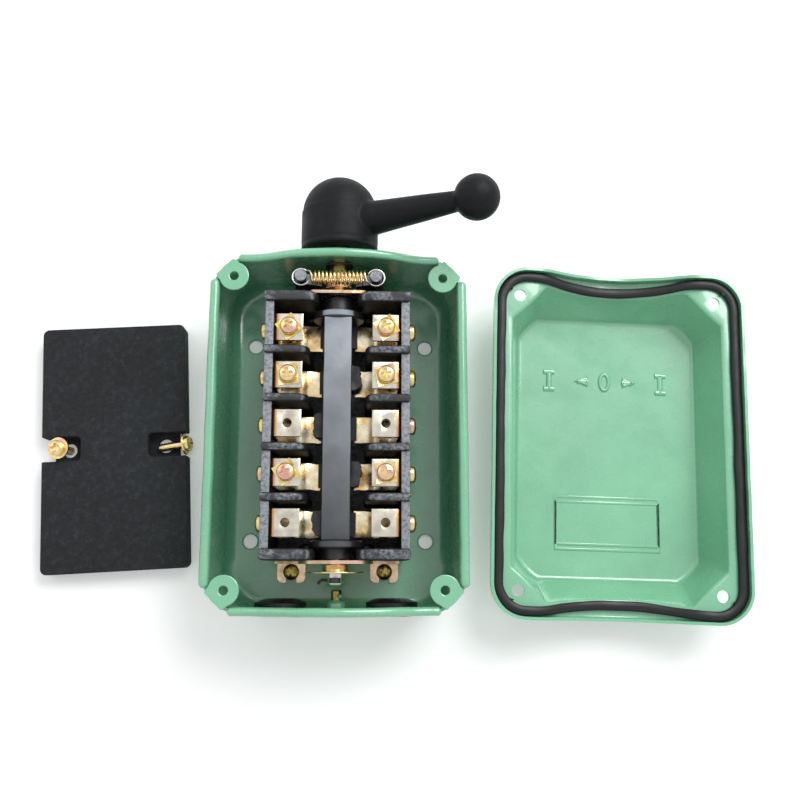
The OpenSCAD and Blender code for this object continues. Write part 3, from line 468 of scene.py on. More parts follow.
def spinProfile(bm, points, steps=32):
    # points are (radius, height) in mm, turned about Z; an end on the axis closes
    verts = [bm.verts.new((r * mm, 0, h * mm)) for r, h in points]
    edges = [bm.edges.new(pair) for pair in zip(verts, verts[1:])]
    bmesh.ops.spin(bm, geom=verts + edges, cent=(0, 0, 0), axis=(0, 0, 1), angle=math.tau, steps=steps,
                   use_merge=True)
    bmesh.ops.remove_doubles(bm, verts=bm.verts, dist=0.001 * mm)
    bmesh.ops.recalc_face_normals(bm, faces=bm.faces)


def wireShape(points, radius, sides=4, closed=False):
    # a round wire along points in mm
    curve = bpy.data.curves.new("wire", "CURVE")
    curve.dimensions = "3D"
    curve.bevel_depth = radius * mm
    curve.bevel_resolution = sides
    curve.use_fill_caps = True
    line = curve.splines.new("POLY")
    line.points.add(len(points) - 1)
    for spot, point in zip(line.points, points):
        spot.co = (*(Vector(point) * mm), 1)
    line.use_cyclic_u = closed
    bm = evaluated(looseObject(curve, "wire"))
    bmesh.ops.remove_doubles(bm, verts=bm.verts, dist=0.001 * mm)
    return bm


def joinInto(target, source, matrix=Matrix.Identity(4)):
    mesh = meshOf(source)
    mesh.transform(matrix)
    if matrix.determinant() < 0:
        mesh.flip_normals()
    target.from_mesh(mesh)
    bpy.data.meshes.remove(mesh)


# The base: floor, walls and rim

arch = {"half": 36, "rise": 9, "fillet": 20}
arch["reach"] = (arch["half"] ** 2 + arch["rise"] ** 2) / (2 * arch["rise"])
arch["radius"] = arch["reach"] - arch["fillet"]
arch["join"] = arch["half"] * arch["radius"] / arch["reach"]


def archRise(x):
    # height that the arch adds over the level rim, in mm
    x = abs(x)
    if x < arch["join"]:
        return arch["rise"] - arch["radius"] + math.sqrt(arch["radius"] ** 2 - x * x)
    if x < arch["half"]:
        return arch["fillet"] - math.sqrt(arch["fillet"] ** 2 - (arch["half"] - x) ** 2)
    return 0.0


def ringPoints(halfX, halfY, corner, round_=1.0, perCorner=12, perSide=18):
    # closed outline of a rectangle: round_ 1 rounds its corners, 0 cuts them, below 0 scallops them
    points = []
    corners = ((1, 1), (-1, 1), (-1, -1), (1, -1))
    for turn in range(4):
        sx, sy = corners[turn]
        along = perSide if turn % 2 == 0 else perSide * 2
        start = Vector((sx * halfX, sy * (halfY - corner)))
        end = Vector((sx * (halfX - corner), sy * halfY))
        if turn % 2:
            start, end = end, start
        center = Vector((sx * (halfX - corner), sy * (halfY - corner)))
        for k in range(perCorner):
            f = k / perCorner
            a = f * math.pi / 2
            arc = center + (start - center) * math.cos(a) + (end - center) * math.sin(a)
            points.append(arc * round_ + start.lerp(end, f) * (1 - round_))
        nx, ny = corners[(turn + 1) % 4]
        following = Vector((nx * (halfX - corner), ny * halfY)) if turn % 2 == 0 else Vector(
            (nx * halfX, ny * (halfY - corner)))
        for k in range(along):
            points.append(end.lerp(following, k / along))
    return points


def ringSurface(rings, capped=True):
    # rings of (outline, height rule), bridged from the middle outwards
    bm = bmesh.new()
    count = len(rings[0][0])
    first = bmesh.ops.create_circle(bm, cap_ends=capped, segments=count, radius=mm)["verts"]
    loop = list(first)
    for index, (outline, height) in enumerate(rings):
        if index:
            edges = [bm.edges.get((loop[k], loop[(k + 1) % count])) for k in range(count)]
            made = bmesh.ops.extrude_edge_only(bm, edges=edges)["geom"]
            fresh = {v for v in made if isinstance(v, bmesh.types.BMVert)}
            loop = [next(e.other_vert(v) for e in v.link_edges if e.other_vert(v) in fresh) for v in loop]
        for vert, point in zip(loop, outline):
            vert.co = Vector((point.x, point.y, height(point.x, point.y))) * mm
    bmesh.ops.recalc_face_normals(bm, faces=bm.faces)
    lowest = min(bm.faces, key=lambda f: f.calc_center_median().z)
    if lowest.normal.z < 0:
        bmesh.ops.reverse_faces(bm, faces=bm.faces)
    return bm


base = {
    "halfX": 49.5, "halfY": 68.5, "height": 40.5, "sheet": 1.2, "lean": 3.2, "corner": 16, "fillet": 4,
    "lip": 2.0, "outX": 50.0, "outY": 69.0, "lipY": 59.0, "lipX": 39.2, "endLip": 1.7,
    "wallHole": (36, 41), "wallHoleR": 2.9, "plugHole": (21.5, 20, 8.4), "shaftHole": (35, 3.4),
    "thrownR": 3.15, "thrownWire": 0.28, "waver": (40, 0.25, 20),
}


def baseRing(z, inset=0.0, rise=0.0):
    # inner outline of the base at a height; the rise follows the arch
    lean = base["lean"] * (1 - z / base["height"])
    outline = ringPoints(base["halfX"] - base["sheet"] - lean - inset, base["halfY"] - base["sheet"] - inset,
                         base["corner"] - base["sheet"] - inset)
    return outline, lambda x, y: z + rise * archRise(x)


def makeBase():
    rings = []
    for k in range(6):
        a = math.pi / 2 * k / 5
        rings.append(baseRing(base["sheet"] + base["fillet"] * (1 - math.cos(a)),
                              base["fillet"] * (1 - math.sin(a))))
    top = base["height"] - base["lip"]
    for k in range(1, 9):
        f = k / 8
        foot = base["sheet"] + base["fillet"]
        rings.append(baseRing(foot + f * (top - base["sheet"] - base["fillet"]), 0, f))
    bm = ringSurface(rings)
    fine, reach, full = base["waver"]
    for v in bm.verts:
        waver = noise.noise(v.co * fine) * reach * min(1.0, v.co.z / (full * mm))
        v.co += outward(v) * waver * mm
    shellMesh = thicken(bm, base["sheet"])
    holeX, holeY = base["wallHole"]
    plugX, plugZ, plugR = base["plugHole"]
    cutter = bmesh.new()
    fourRods(cutter, holeX, holeY, 0, base["wallHoleR"])
    for sx in (-1, 1):
        addRod(cutter, (sx * plugX, -base["halfY"], plugZ), plugR, 8, (0, 1, 0))
    addRod(cutter, (0, base["halfY"], base["shaftHole"][0]), base["shaftHole"][1], 8, (0, 1, 0))
    shellMesh = carve(shellMesh, cutter)
    for side in (-1, 1):                     # rolled side rims with rounded ends
        joinInto(shellMesh, rimTube(side))
        joinInto(shellMesh, endRim(side))
        for end in (-1, 1):                  # thrown-up edge of each wall hole
            thrown = base["thrownR"]
            ring = [(side * holeX + thrown * math.cos(a), end * holeY + thrown * math.sin(a), base["sheet"])
                    for a in (math.tau * k / 40 for k in range(40))]
            joinInto(shellMesh, wireShape(ring, base["thrownWire"], 3, True))
    newPiece(shellMesh, "baseShell", "base_shell", smoothAngle=50)


def rolledBar(axis, radius, half, cuts, step):
    # a bar along X (0) or Y (1) with round ends, cut into short lengths that can bend
    bm = bmesh.new()
    bmesh.ops.create_uvsphere(bm, u_segments=20, v_segments=12, radius=radius * mm,
                              matrix=Matrix.Rotation(math.pi / 2, 4, "YX"[axis]))
    for v in bm.verts:
        if abs(v.co[axis]) > 1e-6:
            v.co[axis] += math.copysign(half - radius, v.co[axis]) * mm
    for k in range(-cuts, cuts + 1):
        cutAcross(bm, axis, k * step)
    return bm


def rimTube(side):
    bm = rolledBar(1, base["lip"], base["lipY"], 20, 2.8)
    for v in bm.verts:
        waver = noise.noise(Vector((side * 3, v.co.y * 60, 0.5)))
        v.co.x += side * (base["outX"] - base["lip"]) * mm - side * abs(waver) * 0.25 * mm
        v.co.z += (base["height"] - base["lip"]) * mm + min(0.0, waver) * 0.2 * mm
    return bm


def endRim(end):
    bm = rolledBar(0, base["endLip"], base["lipX"], 24, 1.5)
    for v in bm.verts:
        rise = archRise(v.co.x / mm)
        waver = noise.noise(Vector((v.co.x * 70, end * 5, 0.2)))
        v.co.y += end * (base["outY"] - base["endLip"] - abs(waver) * 0.3) * mm
        v.co.z += (base["height"] - base["endLip"] + rise) * mm
    return bm


makeBase()
print("base made")


# The lid, inside up, and its gasket

lid = {
    "outX": 51.7, "outY": 70.7, "corner": 14, "sheet": 1.2, "ledge": 21.3, "skirt": 3.7,
    "hollow": (43, 64.3, 14.4), "panel": (38.6, 55.5, 8.8), "hole": (40.5, 59.7, 2.5),
    "away": 113, "turn": -1.8, "fillet": 1.9, "steep": 78, "brow": 1.3, "endInset": 2.4, "root": 0.8,
    "cornerRound": (0.35, 0.45), "ragged": (50, 69),
}
halfTurn = Matrix.Rotation(math.radians(lid["turn"] / 2), 4, "Z")
lidPlace = halfTurn @ Matrix.Translation((lid["away"] * mm, 0, 0)) @ halfTurn


def lidRings():
    hollowX, hollowY, hollowCut = lid["hollow"]
    panelX, panelY, panelCut = lid["panel"]
    inX, inY, inR = (lid["outX"] - lid["sheet"], lid["outY"] - lid["sheet"], lid["corner"] - lid["sheet"])
    floor, ledge, fillet, brow = lid["sheet"], lid["ledge"], lid["fillet"], lid["brow"]
    steep = math.radians(lid["steep"])
    rounded, cut = lid["cornerRound"]
    rings = []

    def add(x, y, corner, z, dip=0.0, round_=0.0, inset=0.0):
        outline = ringPoints(x, y, corner, round_)
        for point in outline:                # the ledge grows wider in the middle of both ends
            if abs(point.y) > y - 1:
                point.y -= math.copysign(inset * lid["endInset"] * archRise(point.x) / arch["rise"], point.y)
        rings.append((outline, lambda px, py: z - dip * archRise(px)))

    for k in range(6):                       # fillet from the panel into the wall
        a = steep * k / 5
        out = fillet * (math.sin(a) - math.sin(steep))
        add(panelX + out, panelY + out, panelCut, floor + fillet * (1 - math.cos(a)), 0, rounded)
    low = floor + fillet * (1 - math.cos(steep))
    for k in range(1, 7):                    # wall, with its corners growing to the seats of the lid's screws
        f = k / 7
        add(panelX + f * (hollowX - panelX), panelY + f * (hollowY - panelY),
            panelCut + f * (hollowCut - panelCut), low + f * (ledge - brow - low), f, rounded - cut * f, f)
    for k in range(5):                       # brow from the wall on to the ledge
        a = math.pi / 2 * k / 4
        out = brow * (1 - math.cos(a))
        add(hollowX + out, hollowY + out, hollowCut + 0.3 * out, ledge - brow * (1 - math.sin(a)), 1, -0.1, 1)
    add((hollowX + inX) / 2, (hollowY + inY) / 2 + 0.4, (hollowCut + inR) / 2, ledge, 1, 0.5, 0.5)
    for k in range(4):                       # up into the skirt
        a = math.pi / 2 * k / 3
        out = lid["root"] * (1 - math.sin(a))
        add(inX - out, inY - out, inR - out, ledge + lid["root"] * (1 - math.cos(a)), 1, 1)
    add(inX, inY, inR, ledge + lid["skirt"] * 0.6, 1, 1)
    add(inX, inY, inR, ledge + lid["skirt"], 1, 1)
    return rings


def makeLid():
    bm = ringSurface(lidRings())
    for v in bm.verts:
        height = v.co.z / mm
        waver = noise.noise(v.co * 120) * 0.3
        if height > 8:
            v.co += outward(v) * waver * 0.5 * mm
        edge = max(abs(v.co.x) / lid["ragged"][0], abs(v.co.y) / lid["ragged"][1])
        if height > lid["ledge"] + 3 - archRise(v.co.x / mm) and edge > mm:
            v.co.z += min(0.0, waver - 0.02) * mm
    shellMesh = thicken(bm, lid["sheet"])
    cutter = bmesh.new()
    holeX, holeY, holeR = lid["hole"]
    fourRods(cutter, holeX, holeY, lid["ledge"] - 1, holeR)
    shellMesh = carve(shellMesh, cutter)
    for v in shellMesh.verts:                # the sheet stays inside its own outline
        v.co.x = max(-lid["outX"] * mm, min(lid["outX"] * mm, v.co.x))
        v.co.y = max(-lid["outY"] * mm, min(lid["outY"] * mm, v.co.y))
        v.co.z = max(0.0, v.co.z)
    for mark in pressedMarks():
        joinInto(shellMesh, mark)
    bmesh.ops.transform(shellMesh, matrix=lidPlace, verts=shellMesh.verts)
    newPiece(shellMesh, "lidShell", "lid_shell", smoothAngle=50)


# plain marks pressed into the panel: bar, arrow, ring, arrow and bar, with a bare frame below
marks = {"y": 28.6, "height": 7.4, "stroke": 2.4, "proud": 0.8, "iX": (-24.5, 23.7), "arrowX": (-10.2, 9.6),
         "serif": 4.4, "frame": (-22.4, 22.4, -43.4, -20.2), "ringX": -0.6, "ring": (1.9, 3.5),
         "ringStroke": 1.6,
         "line": 1.8, "lineProud": 0.42, "tail": (2.6, 1.8), "head": (1.8, 2.2, 1.3)}


def pressedStroke(points, closed=False, width=marks["stroke"], proud=marks["proud"]):
    bm = wireShape([(x, y, lid["sheet"]) for x, y in points], width / 2, 3, closed)
    for v in bm.verts:
        v.co.z = lid["sheet"] * mm + (v.co.z - lid["sheet"] * mm) * proud / (width / 2)
    return bm


def pressedMarks():
    y, half, serif = marks["y"], marks["height"] / 2, marks["serif"] / 2
    made = []
    for x in marks["iX"]:
        made.append(pressedStroke([(x, y - half), (x, y + half)]))
        for end in (-half, half):
            made.append(pressedStroke([(x - serif, y + end), (x + serif, y + end)]))
    back, tip, spread = marks["head"]
    for x, way in zip(marks["arrowX"], (-1, 1)):
        made.append(pressedStroke([(x - way * back, y - spread), (x + way * tip, y),
                                   (x - way * back, y + spread)], True))
        made.append(pressedStroke([(x - way * marks["tail"][0], y), (x + way * marks["tail"][1], y)]))
    ringX, ringY = marks["ring"]
    made.append(pressedStroke([(marks["ringX"] + ringX * math.cos(a), y + ringY * math.sin(a))
                               for a in (math.tau * k / 32 for k in range(32))], True, marks["ringStroke"]))
    x0, x1, y0, y1 = marks["frame"]
    for across, up in ((0.7, 0.7), (0.7, 2.8)):
        made.append(pressedStroke([(x0 + across, y0 + up), (x1 - across, y0 + up), (x1 - across, y1 - up),
                                   (x0 + across, y1 - up)], True, marks["line"], marks["lineProud"]))
    return made


makeLid()

gasket = {"width": 3.7, "thick": 2.2, "seat": 0.25, "foldAt": 5.5, "fold": (2.6, 1.6, 0.9), "foldUp": 1.6,
          "profile": [(0.0, 0.1), (0.0, 0.75), (0.12, 0.97), (0.5, 1.0), (0.88, 0.97), (1.0, 0.75),
                      (1.0, 0.1)]}


def makeGasket():
    outX, outY, outR = [lid[key] - lid["sheet"] - gasket["seat"] for key in ("outX", "outY", "corner")]
    rings = []
    for across, up in gasket["profile"]:
        inset = across * gasket["width"]
        rings.append((ringPoints(outX - inset, outY - inset, outR - inset * 0.9, 1.0, 16, 26),
                      lambda x, y, up=up: lid["ledge"] + up * gasket["thick"] - archRise(x)))
    bm = ringSurface(rings, capped=False)
    for v in bm.verts:                       # follows the ledge, which is wider in the middle of both ends
        if abs(v.co.y) > (outY - gasket["width"] - 1) * mm:
            v.co.y -= math.copysign(lid["endInset"] * 1.1 * archRise(v.co.x / mm) / arch["rise"], v.co.y) * mm
    for v in bm.verts:                       # cut and creased by hand
        drift = noise.noise(Vector((v.co.x * 90, v.co.y * 90, 1.5)))
        inner = 1.0 if abs(v.co.x) < (outX - 3) * mm and abs(v.co.y) < (outY - 3) * mm else 0.3
        v.co += outward(v) * drift * 0.45 * inner * mm
        v.co.z += noise.noise(v.co * 160) * 0.18 * mm
    bmesh.ops.bridge_loops(bm, edges=[e for e in bm.edges if e.is_boundary])
    bmesh.ops.recalc_face_normals(bm, faces=bm.faces)
    wide, narrow, deep = gasket["fold"]
    for sx in (-1, 1):                       # triangular folds where the strip turns the corner
        for sy in (-1, 1):
            fold = bmesh.new()
            bmesh.ops.create_cone(fold, cap_ends=True, segments=3, radius1=wide * mm, radius2=narrow * mm,
                                  depth=deep * mm)
            turn = Matrix.Rotation(math.atan2(sy, sx) + math.pi, 3, "Z")
            bmesh.ops.rotate(fold, verts=fold.verts, matrix=turn)
            place = Vector((sx * (outX - gasket["foldAt"]), sy * (outY - gasket["foldAt"]),
                            lid["ledge"] + gasket["foldUp"]))
            bmesh.ops.translate(fold, verts=fold.verts, vec=place * mm)
            joinInto(bm, fold)
    bmesh.ops.transform(bm, matrix=lidPlace, verts=bm.verts)
    newPiece(bm, "lidGasket", "lid_gasket", smoothAngle=60)


makeGasket()
print("lid made")


# The handle: hub, arm and ball moulded in one, blended by a fine remesh

handle = {
    "hubY": 71.2, "shaftZ": 35, "hubR": 15.3, "straight": 16.4, "dome": 14.5, "step": 0.5,
    "armY": 83.3, "turn": 60, "ballAt": 59.2, "ballR": 8.7,
    "arm": [(0, 8.0), (12, 7.3), (24, 6.3), (38, 5.3), (51, 4.2)], "flat": 0.94, "ridge": 1.03,
    "voxel": 0.55, "soften": (0.5, 6),
}


def makeHandle():
    bm = bmesh.new()
    straight, hubR = handle["straight"], handle["hubR"]
    rim = [(0, 0), (hubR - 0.6, 0), (hubR, 0.6), (hubR, 1.6), (hubR - 0.7, 2.2), (hubR - 0.1, 3.0),
           (hubR - 0.1, straight)]
    dome = [((hubR - handle["step"]) * math.cos(a), straight + handle["dome"] * math.sin(a))
            for a in (math.pi / 2 * k / 14 for k in range(15))]
    spinProfile(bm, rim + dome, 64)
    toHub = at((0, handle["hubY"], handle["shaftZ"])) @ Matrix.Rotation(-math.pi / 2, 4, "X")
    bmesh.ops.transform(bm, verts=bm.verts, matrix=toHub)
    toArm = at((0, handle["armY"], handle["shaftZ"])) @ Matrix.Rotation(math.radians(handle["turn"]), 4, "Y")
    arm = bmesh.new()
    spinProfile(arm, [(0, 0)] + [(r, h) for h, r in handle["arm"]] + [(0, handle["arm"][-1][0])], 48)
    for v in arm.verts:                      # flattened sides leave a ridge along the arm
        v.co.y *= handle["flat"]
        if v.co.y < 0:
            v.co.x *= handle["ridge"]
    joinInto(bm, arm, toArm)
    ball = bmesh.new()
    bmesh.ops.create_uvsphere(ball, u_segments=48, v_segments=32, radius=handle["ballR"] * mm)
    joinInto(bm, ball, toArm @ Matrix.Translation((0, 0, handle["ballAt"] * mm)))
    block = looseObject(meshOf(bm))
    remesh = block.modifiers.new("blend", "REMESH")
    remesh.mode = "VOXEL"
    remesh.voxel_size = handle["voxel"] * mm
    smooth = block.modifiers.new("soften", "SMOOTH")
    smooth.factor, smooth.iterations = handle["soften"]
    newPiece(evaluated(block), "handleMoulding", "handle", smoothAngle=80)


makeHandle()
print("handle made")


# Screws with a cross recess

screw = {"steps": 28, "domeAngle": 84, "brow": 0.55, "dome": 0.45, "power": 1.2, "edge": 0.15, "tip": 0.4,
         "cross": (3.8, 1.2, 1.5), "pan": (3.2, 2.3, 1.65)}
seats = {"sideX": 27.3, "sideZ": 37, "footX": 18.9, "footY": (-53.3, 56.3), "footZ": 2.4, "boardX": 11.5,
         "boardY": ((-44.7, 1), (47.7, -1)), "boardZ": 20, "earth": (0, -68.5, 20), "earthTurn": 0.4}


def screwShape(headR, headH, shankR, length, cross=screw["cross"]):
    bm = bmesh.new()
    dome = [(headR * math.sin(a), headH * (screw["brow"] + screw["dome"] * math.cos(a) ** screw["power"]))
            for a in (math.radians(screw["domeAngle"]) * k / 6 for k in range(7))]
    edge, tip = screw["edge"], screw["tip"]
    spinProfile(bm, dome + [(headR, headH * 0.45), (headR, edge), (headR - edge, 0), (shankR, 0),
                            (shankR, -length + tip), (shankR - tip, -length), (0, -length)], screw["steps"])
    cutter = bmesh.new()
    long_, wide, deep = cross
    for turn in (0, math.pi / 2):
        arm = addBox(cutter, (-long_ / 2, -wide / 2, headH - deep), (long_ / 2, wide / 2, headH + 1))
        bmesh.ops.rotate(cutter, verts=arm, cent=(0, 0, 0), matrix=Matrix.Rotation(turn, 3, "Z"))
    return meshOf(carve(bm, cutter), "screw")


def frameAt(point, axis, spin=0.0):
    turn = Vector((0, 0, 1)).rotation_difference(Vector(axis)).to_matrix().to_4x4()
    return at(point) @ turn @ Matrix.Rotation(spin, 4, "Z")


def screwSet(name, node, shape, places, material=None):
    bm = bmesh.new()
    for place in places:
        copy = shape.copy()
        copy.transform(place)
        bm.from_mesh(copy)
        bpy.data.meshes.remove(copy)
    newPiece(bm, name, node, material, 42)


rows = [38.3, 19.9, 1.5, -16.9, -35.3]
terminal = {"x": 18.4, "z": 45.0, "rows": (0, 1, 3), "leftTurns": (38, 8, 32), "rightTurns": (30, 14, 6),
            "screwLift": 1.5, "washer": 7.7, "washerLow": 0.55, "turnUp": 0.5, "plate": 0.5,
            "ring": [(1.75, 0.75), (3.0, 0.7), (3.1, 1.0), (3.0, 1.45), (1.75, 1.45), (1.75, 0.75)]}

screwSet("sideScrews", "contact_screws", screwShape(3.4, 2.9, 1.65, 4.5),
         [frameAt((s * seats["sideX"], y, seats["sideZ"]), (s, 0, 0), y) for s in (-1, 1) for y in rows])
screwSet("footScrews", "bracket_screws", screwShape(*screw["pan"], 2.4),
         [frameAt((s * seats["footX"], y, seats["footZ"]), (0, 0, 1), s + y)
          for s in (-1, 1) for y in seats["footY"]], finishes["dark_zinc"])
# painted shade: the board screws are black so that their heads sit unseen in the shade of the end chambers
screwSet("boardScrews", "board_screws", screwShape(*screw["pan"], 5.4),
         [frameAt((s * seats["boardX"], y, seats["boardZ"]), (0, way, 0), s)
          for s in (-1, 1) for y, way in seats["boardY"]], finishes["black_steel"])
screwSet("earthScrew", "earth_screw", screwShape(3.6, 1.6, 2.1, 8.4),
         [frameAt(seats["earth"], (0, -1, 0), seats["earthTurn"])], finishes["dark_zinc"])


def terminalPlaces(lift=0.0):
    for s, turns in ((-1, terminal["leftTurns"]), (1, terminal["rightTurns"])):
        for turn, row in zip(turns, terminal["rows"]):
            yield frameAt((s * terminal["x"], rows[row], terminal["z"] + lift), (0, 0, 1), math.radians(turn))


screwSet("terminalScrews", "terminal_screws", screwShape(*screw["pan"], 6.6, (4.0, 1.2, 1.6)),
         terminalPlaces(terminal["screwLift"]))


def makeWashers():
    bm = bmesh.new()
    half = terminal["washer"] / 2
    for place in terminalPlaces():
        plate = bmesh.new()
        bmesh.ops.create_grid(plate, x_segments=8, y_segments=8, size=half * mm)
        for v in plate.verts:                # a lug washer is dished, with its corners turned up
            reach = abs(v.co.x * v.co.y) / (half * half * mm * mm)
            v.co.z = (terminal["washerLow"] + terminal["turnUp"] * reach) * mm
        extruded = bmesh.ops.extrude_face_region(plate, geom=plate.faces[:])["geom"]
        bmesh.ops.translate(plate, verts=[g for g in extruded if isinstance(g, bmesh.types.BMVert)],
                            vec=(0, 0, -terminal["plate"] * mm))
        bmesh.ops.recalc_face_normals(plate, faces=plate.faces)
        joinInto(bm, plate, place)
        ring = bmesh.new()
        spinProfile(ring, terminal["ring"], screw["steps"])
        joinInto(bm, ring, place)
    newPiece(bm, "terminalWashers", "terminal_washers", smoothAngle=45)


makeWashers()
print("screws made")


# The detent spring, wound as one wire with a hook round each post

spring = {"y": 58.2, "z": 44.6, "coilR": 2.45, "wireR": 0.4, "coils": 14, "length": 20.4, "postX": 14.4,
          "perTurn": 20, "hookR": 3.2, "hookSteps": 30, "sweep": 285, "stretch": (0.5, 10.5),
          "lead": [(0.55, 0.7, 0.78), (1.3, 0.98, 0.3)]}


def makeSpring():
    perTurn, half, coilR, hookR = spring["perTurn"], spring["length"] / 2, spring["coilR"], spring["hookR"]
    count = spring["coils"] * perTurn
    coil = [(spring["length"] * (k / count - 0.5), coilR * math.cos(math.pi / 2 + math.tau * k / perTurn),
             coilR * math.sin(math.pi / 2 + math.tau * k / perTurn)) for k in range(count + 1)]
    start = math.asin(coilR / hookR)
    lead = (spring["postX"] - half - hookR * math.cos(start)) / 2
    hook = [(-half - lead * along, coilR * across, coilR * up) for along, across, up in spring["lead"]]
    for k in range(spring["hookSteps"] + 1):
        a = start + math.radians(spring["sweep"]) * k / spring["hookSteps"]
        hook.append((-spring["postX"] + hookR * math.cos(a), hookR * math.sin(a), 0))
    line = hook[::-1] + coil + [(-x, -y, z) for x, y, z in hook]
    line = [(x, y + spring["y"], z + spring["z"]) for x, y, z in line]
    middle = len(line) // 2
    for side, way, part in (("left", -1, line[:middle + 1]), ("right", 1, line[middle:])):
        near, far = [(way * x, spring["y"], spring["z"]) for x in spring["stretch"]]
        newPiece(wireShape(part, spring["wireR"], 4), side + "SpringHalf", "detent_spring", smoothAngle=70,
                 pulledBy=(side + "_lever", near, far))


makeSpring()
print("spring made")


# Contact strips: the CAD strip with rounded edges and a finger bowed towards the drum

finger = {"from": 20.5, "crest": 15.4, "width": 2.6, "tip": 6.2, "bow": 1.1, "cuts": 12, "edge": 0.22,
          "under": 30, "sway": 0.5}


def makeContact(side, row):
    node = f"{side}_contact_{row}"
    sign = -1 if side == "left" else 1
    bm = softEdges(node, finger["edge"])
    for k in range(finger["cuts"]):
        x = finger["tip"] + (finger["from"] - finger["tip"]) * (k + 0.5) / finger["cuts"]
        cutAcross(bm, 0, sign * x)
    for v in bm.verts:
        x = abs(v.co.x) / mm
        if v.co.z < finger["under"] * mm and x < finger["from"]:
            f = (finger["from"] - x) / (finger["from"] - finger["tip"])
            v.co.z += finger["bow"] * math.exp(-((x - finger["crest"]) / finger["width"]) ** 2) * mm
            v.co.y += noise.noise(Vector((x * 0.35, row * 3.1, sign))) * finger["sway"] * f * mm
    newPiece(bm, f"{side}Strip{row}", node, smoothAngle=45)


for side in ("left", "right"):
    for row in range(1, 6):
        makeContact(side, row)
print("contacts made")


# Contact boards: a web, an outer wall, barrier ribs between the rows and an end wall at both ends

board = {"seam": 0.1, "x1": 27.3, "y": (-48.9, 51.9), "z0": 6, "z1": 49, "wall": 3.3, "proud": 1.4, "web": 3,
         "rib": 3.2, "ribX": 10.5, "endX": 7.6, "ends": ((-48.9, -44.7), (47.7, 51.9)), "round": 6,
         "edge": 1.1, "ribOver": 0.15, "corner": 0.4, "waver": 0.12, "fine": 130}


def ribShape(x0, y0, y1):
    # one rib, rounded where it meets the drum and softened all round
    bm = bmesh.new()
    addBox(bm, (x0, y0, board["z0"]), (board["x1"] + board["ribOver"], y1, board["z1"]))
    roundEdges(bm, [e for e in bm.edges if all(v.co.x < (x0 + 1) * mm and v.co.z > (board["z1"] - 1) * mm
                                               for v in e.verts)], board["round"], 8)
    rim = [e for e in bm.edges if sum(abs(f.normal.y) > 0.9 for f in e.link_faces) == 1]
    roundEdges(bm, rim, board["edge"], 3)
    return bm


def makeBoard(side):
    bm = bmesh.new()
    y0, y1 = board["y"]
    addBox(bm, (board["x1"] - board["wall"], y0 + 0.3, board["z0"]),
           (board["x1"], y1 - 0.3, board["z1"] - board["proud"]))
    addBox(bm, (board["seam"], y0 + 0.2, board["z0"]),
           (board["x1"] - 0.2, y1 - 0.2, board["z0"] + board["web"]))
    roundEdges(bm, bm.edges[:], board["corner"])
    for upper, lower in zip(rows, rows[1:]):
        middle = (upper + lower) / 2
        joinInto(bm, ribShape(board["ribX"], middle - board["rib"] / 2, middle + board["rib"] / 2))
    for low, high in board["ends"]:
        joinInto(bm, ribShape(board["endX"], low, high))
    for v in bm.verts:                       # pressed powder never comes out quite straight
        v.co.x += noise.noise(v.co * board["fine"]) * board["waver"] * mm
        v.co.y += noise.noise(v.co * board["fine"] + Vector((5, 0, 0))) * board["waver"] * mm
    if side == "left":
        mirror(bm)
    newPiece(bm, side + "ContactBoard", side + "_contact_board", smoothAngle=32)


for side in ("left", "right"):
    makeBoard(side)
print("boards made")


# The drum: a flat bar between two flanges, with broken-edged lobes beside some of the rows

drum = {"z": 35, "r": 10, "bar": 5.3, "barZ": (28, 43.48), "barY": (-41.6, 43.1), "flange": 2.8, "journal": 6,
        "ends": (-48.6, 51.6), "lobe": 9.6, "lobeZ": 4.2, "leftLobes": (2, 4), "rightLobes": (1, 3),
        "carrier": 8.8, "carrierL": 9, "carrierZ": 30, "core": 5.2, "edge": 0.45, "step": 0.3, "waver": 0.18,
        "lobeRoot": 0.5, "lobeShy": 0.7}


def turned(bm, points, steps=48):
    # a profile of (radius, place along Y), turned about the shaft line
    part = bmesh.new()
    spinProfile(part, points, steps)
    joinInto(bm, part, Matrix.Translation((0, 0, drum["z"] * mm)) @ Matrix.Rotation(-math.pi / 2, 4, "X"))


def lobeShape(side, y, seed):
    bm = bmesh.new()
    half = drum["lobe"] / 2
    addBox(bm, (drum["bar"] - drum["lobeRoot"], y - half, drum["z"] - drum["lobeZ"]),
           (drum["r"] - drum["lobeShy"], y + half, drum["z"] + drum["lobeZ"]))
    bmesh.ops.subdivide_edges(bm, edges=bm.edges[:], cuts=7, use_grid_fill=True)
    for v in bm.verts:
        out = (v.co.x / mm - drum["bar"]) / (drum["r"] - drum["bar"])
        along = (v.co.y / mm - y) / half
        break_ = 0.5 + noise.noise(Vector((v.co.y * 420, v.co.z * 200, seed))) * 1.6
        v.co.x -= max(0.0, out) * (break_ + 1.4 * along ** 4) * mm
        v.co.y -= max(0.0, out) * along * abs(noise.noise(Vector((v.co.x * 500, seed, 2)))) * 1.4 * mm
        v.co.z += noise.noise(Vector((v.co.x * 300, v.co.y * 300, seed))) * 0.5 * mm
    if side < 0:
        mirror(bm)
    return bm


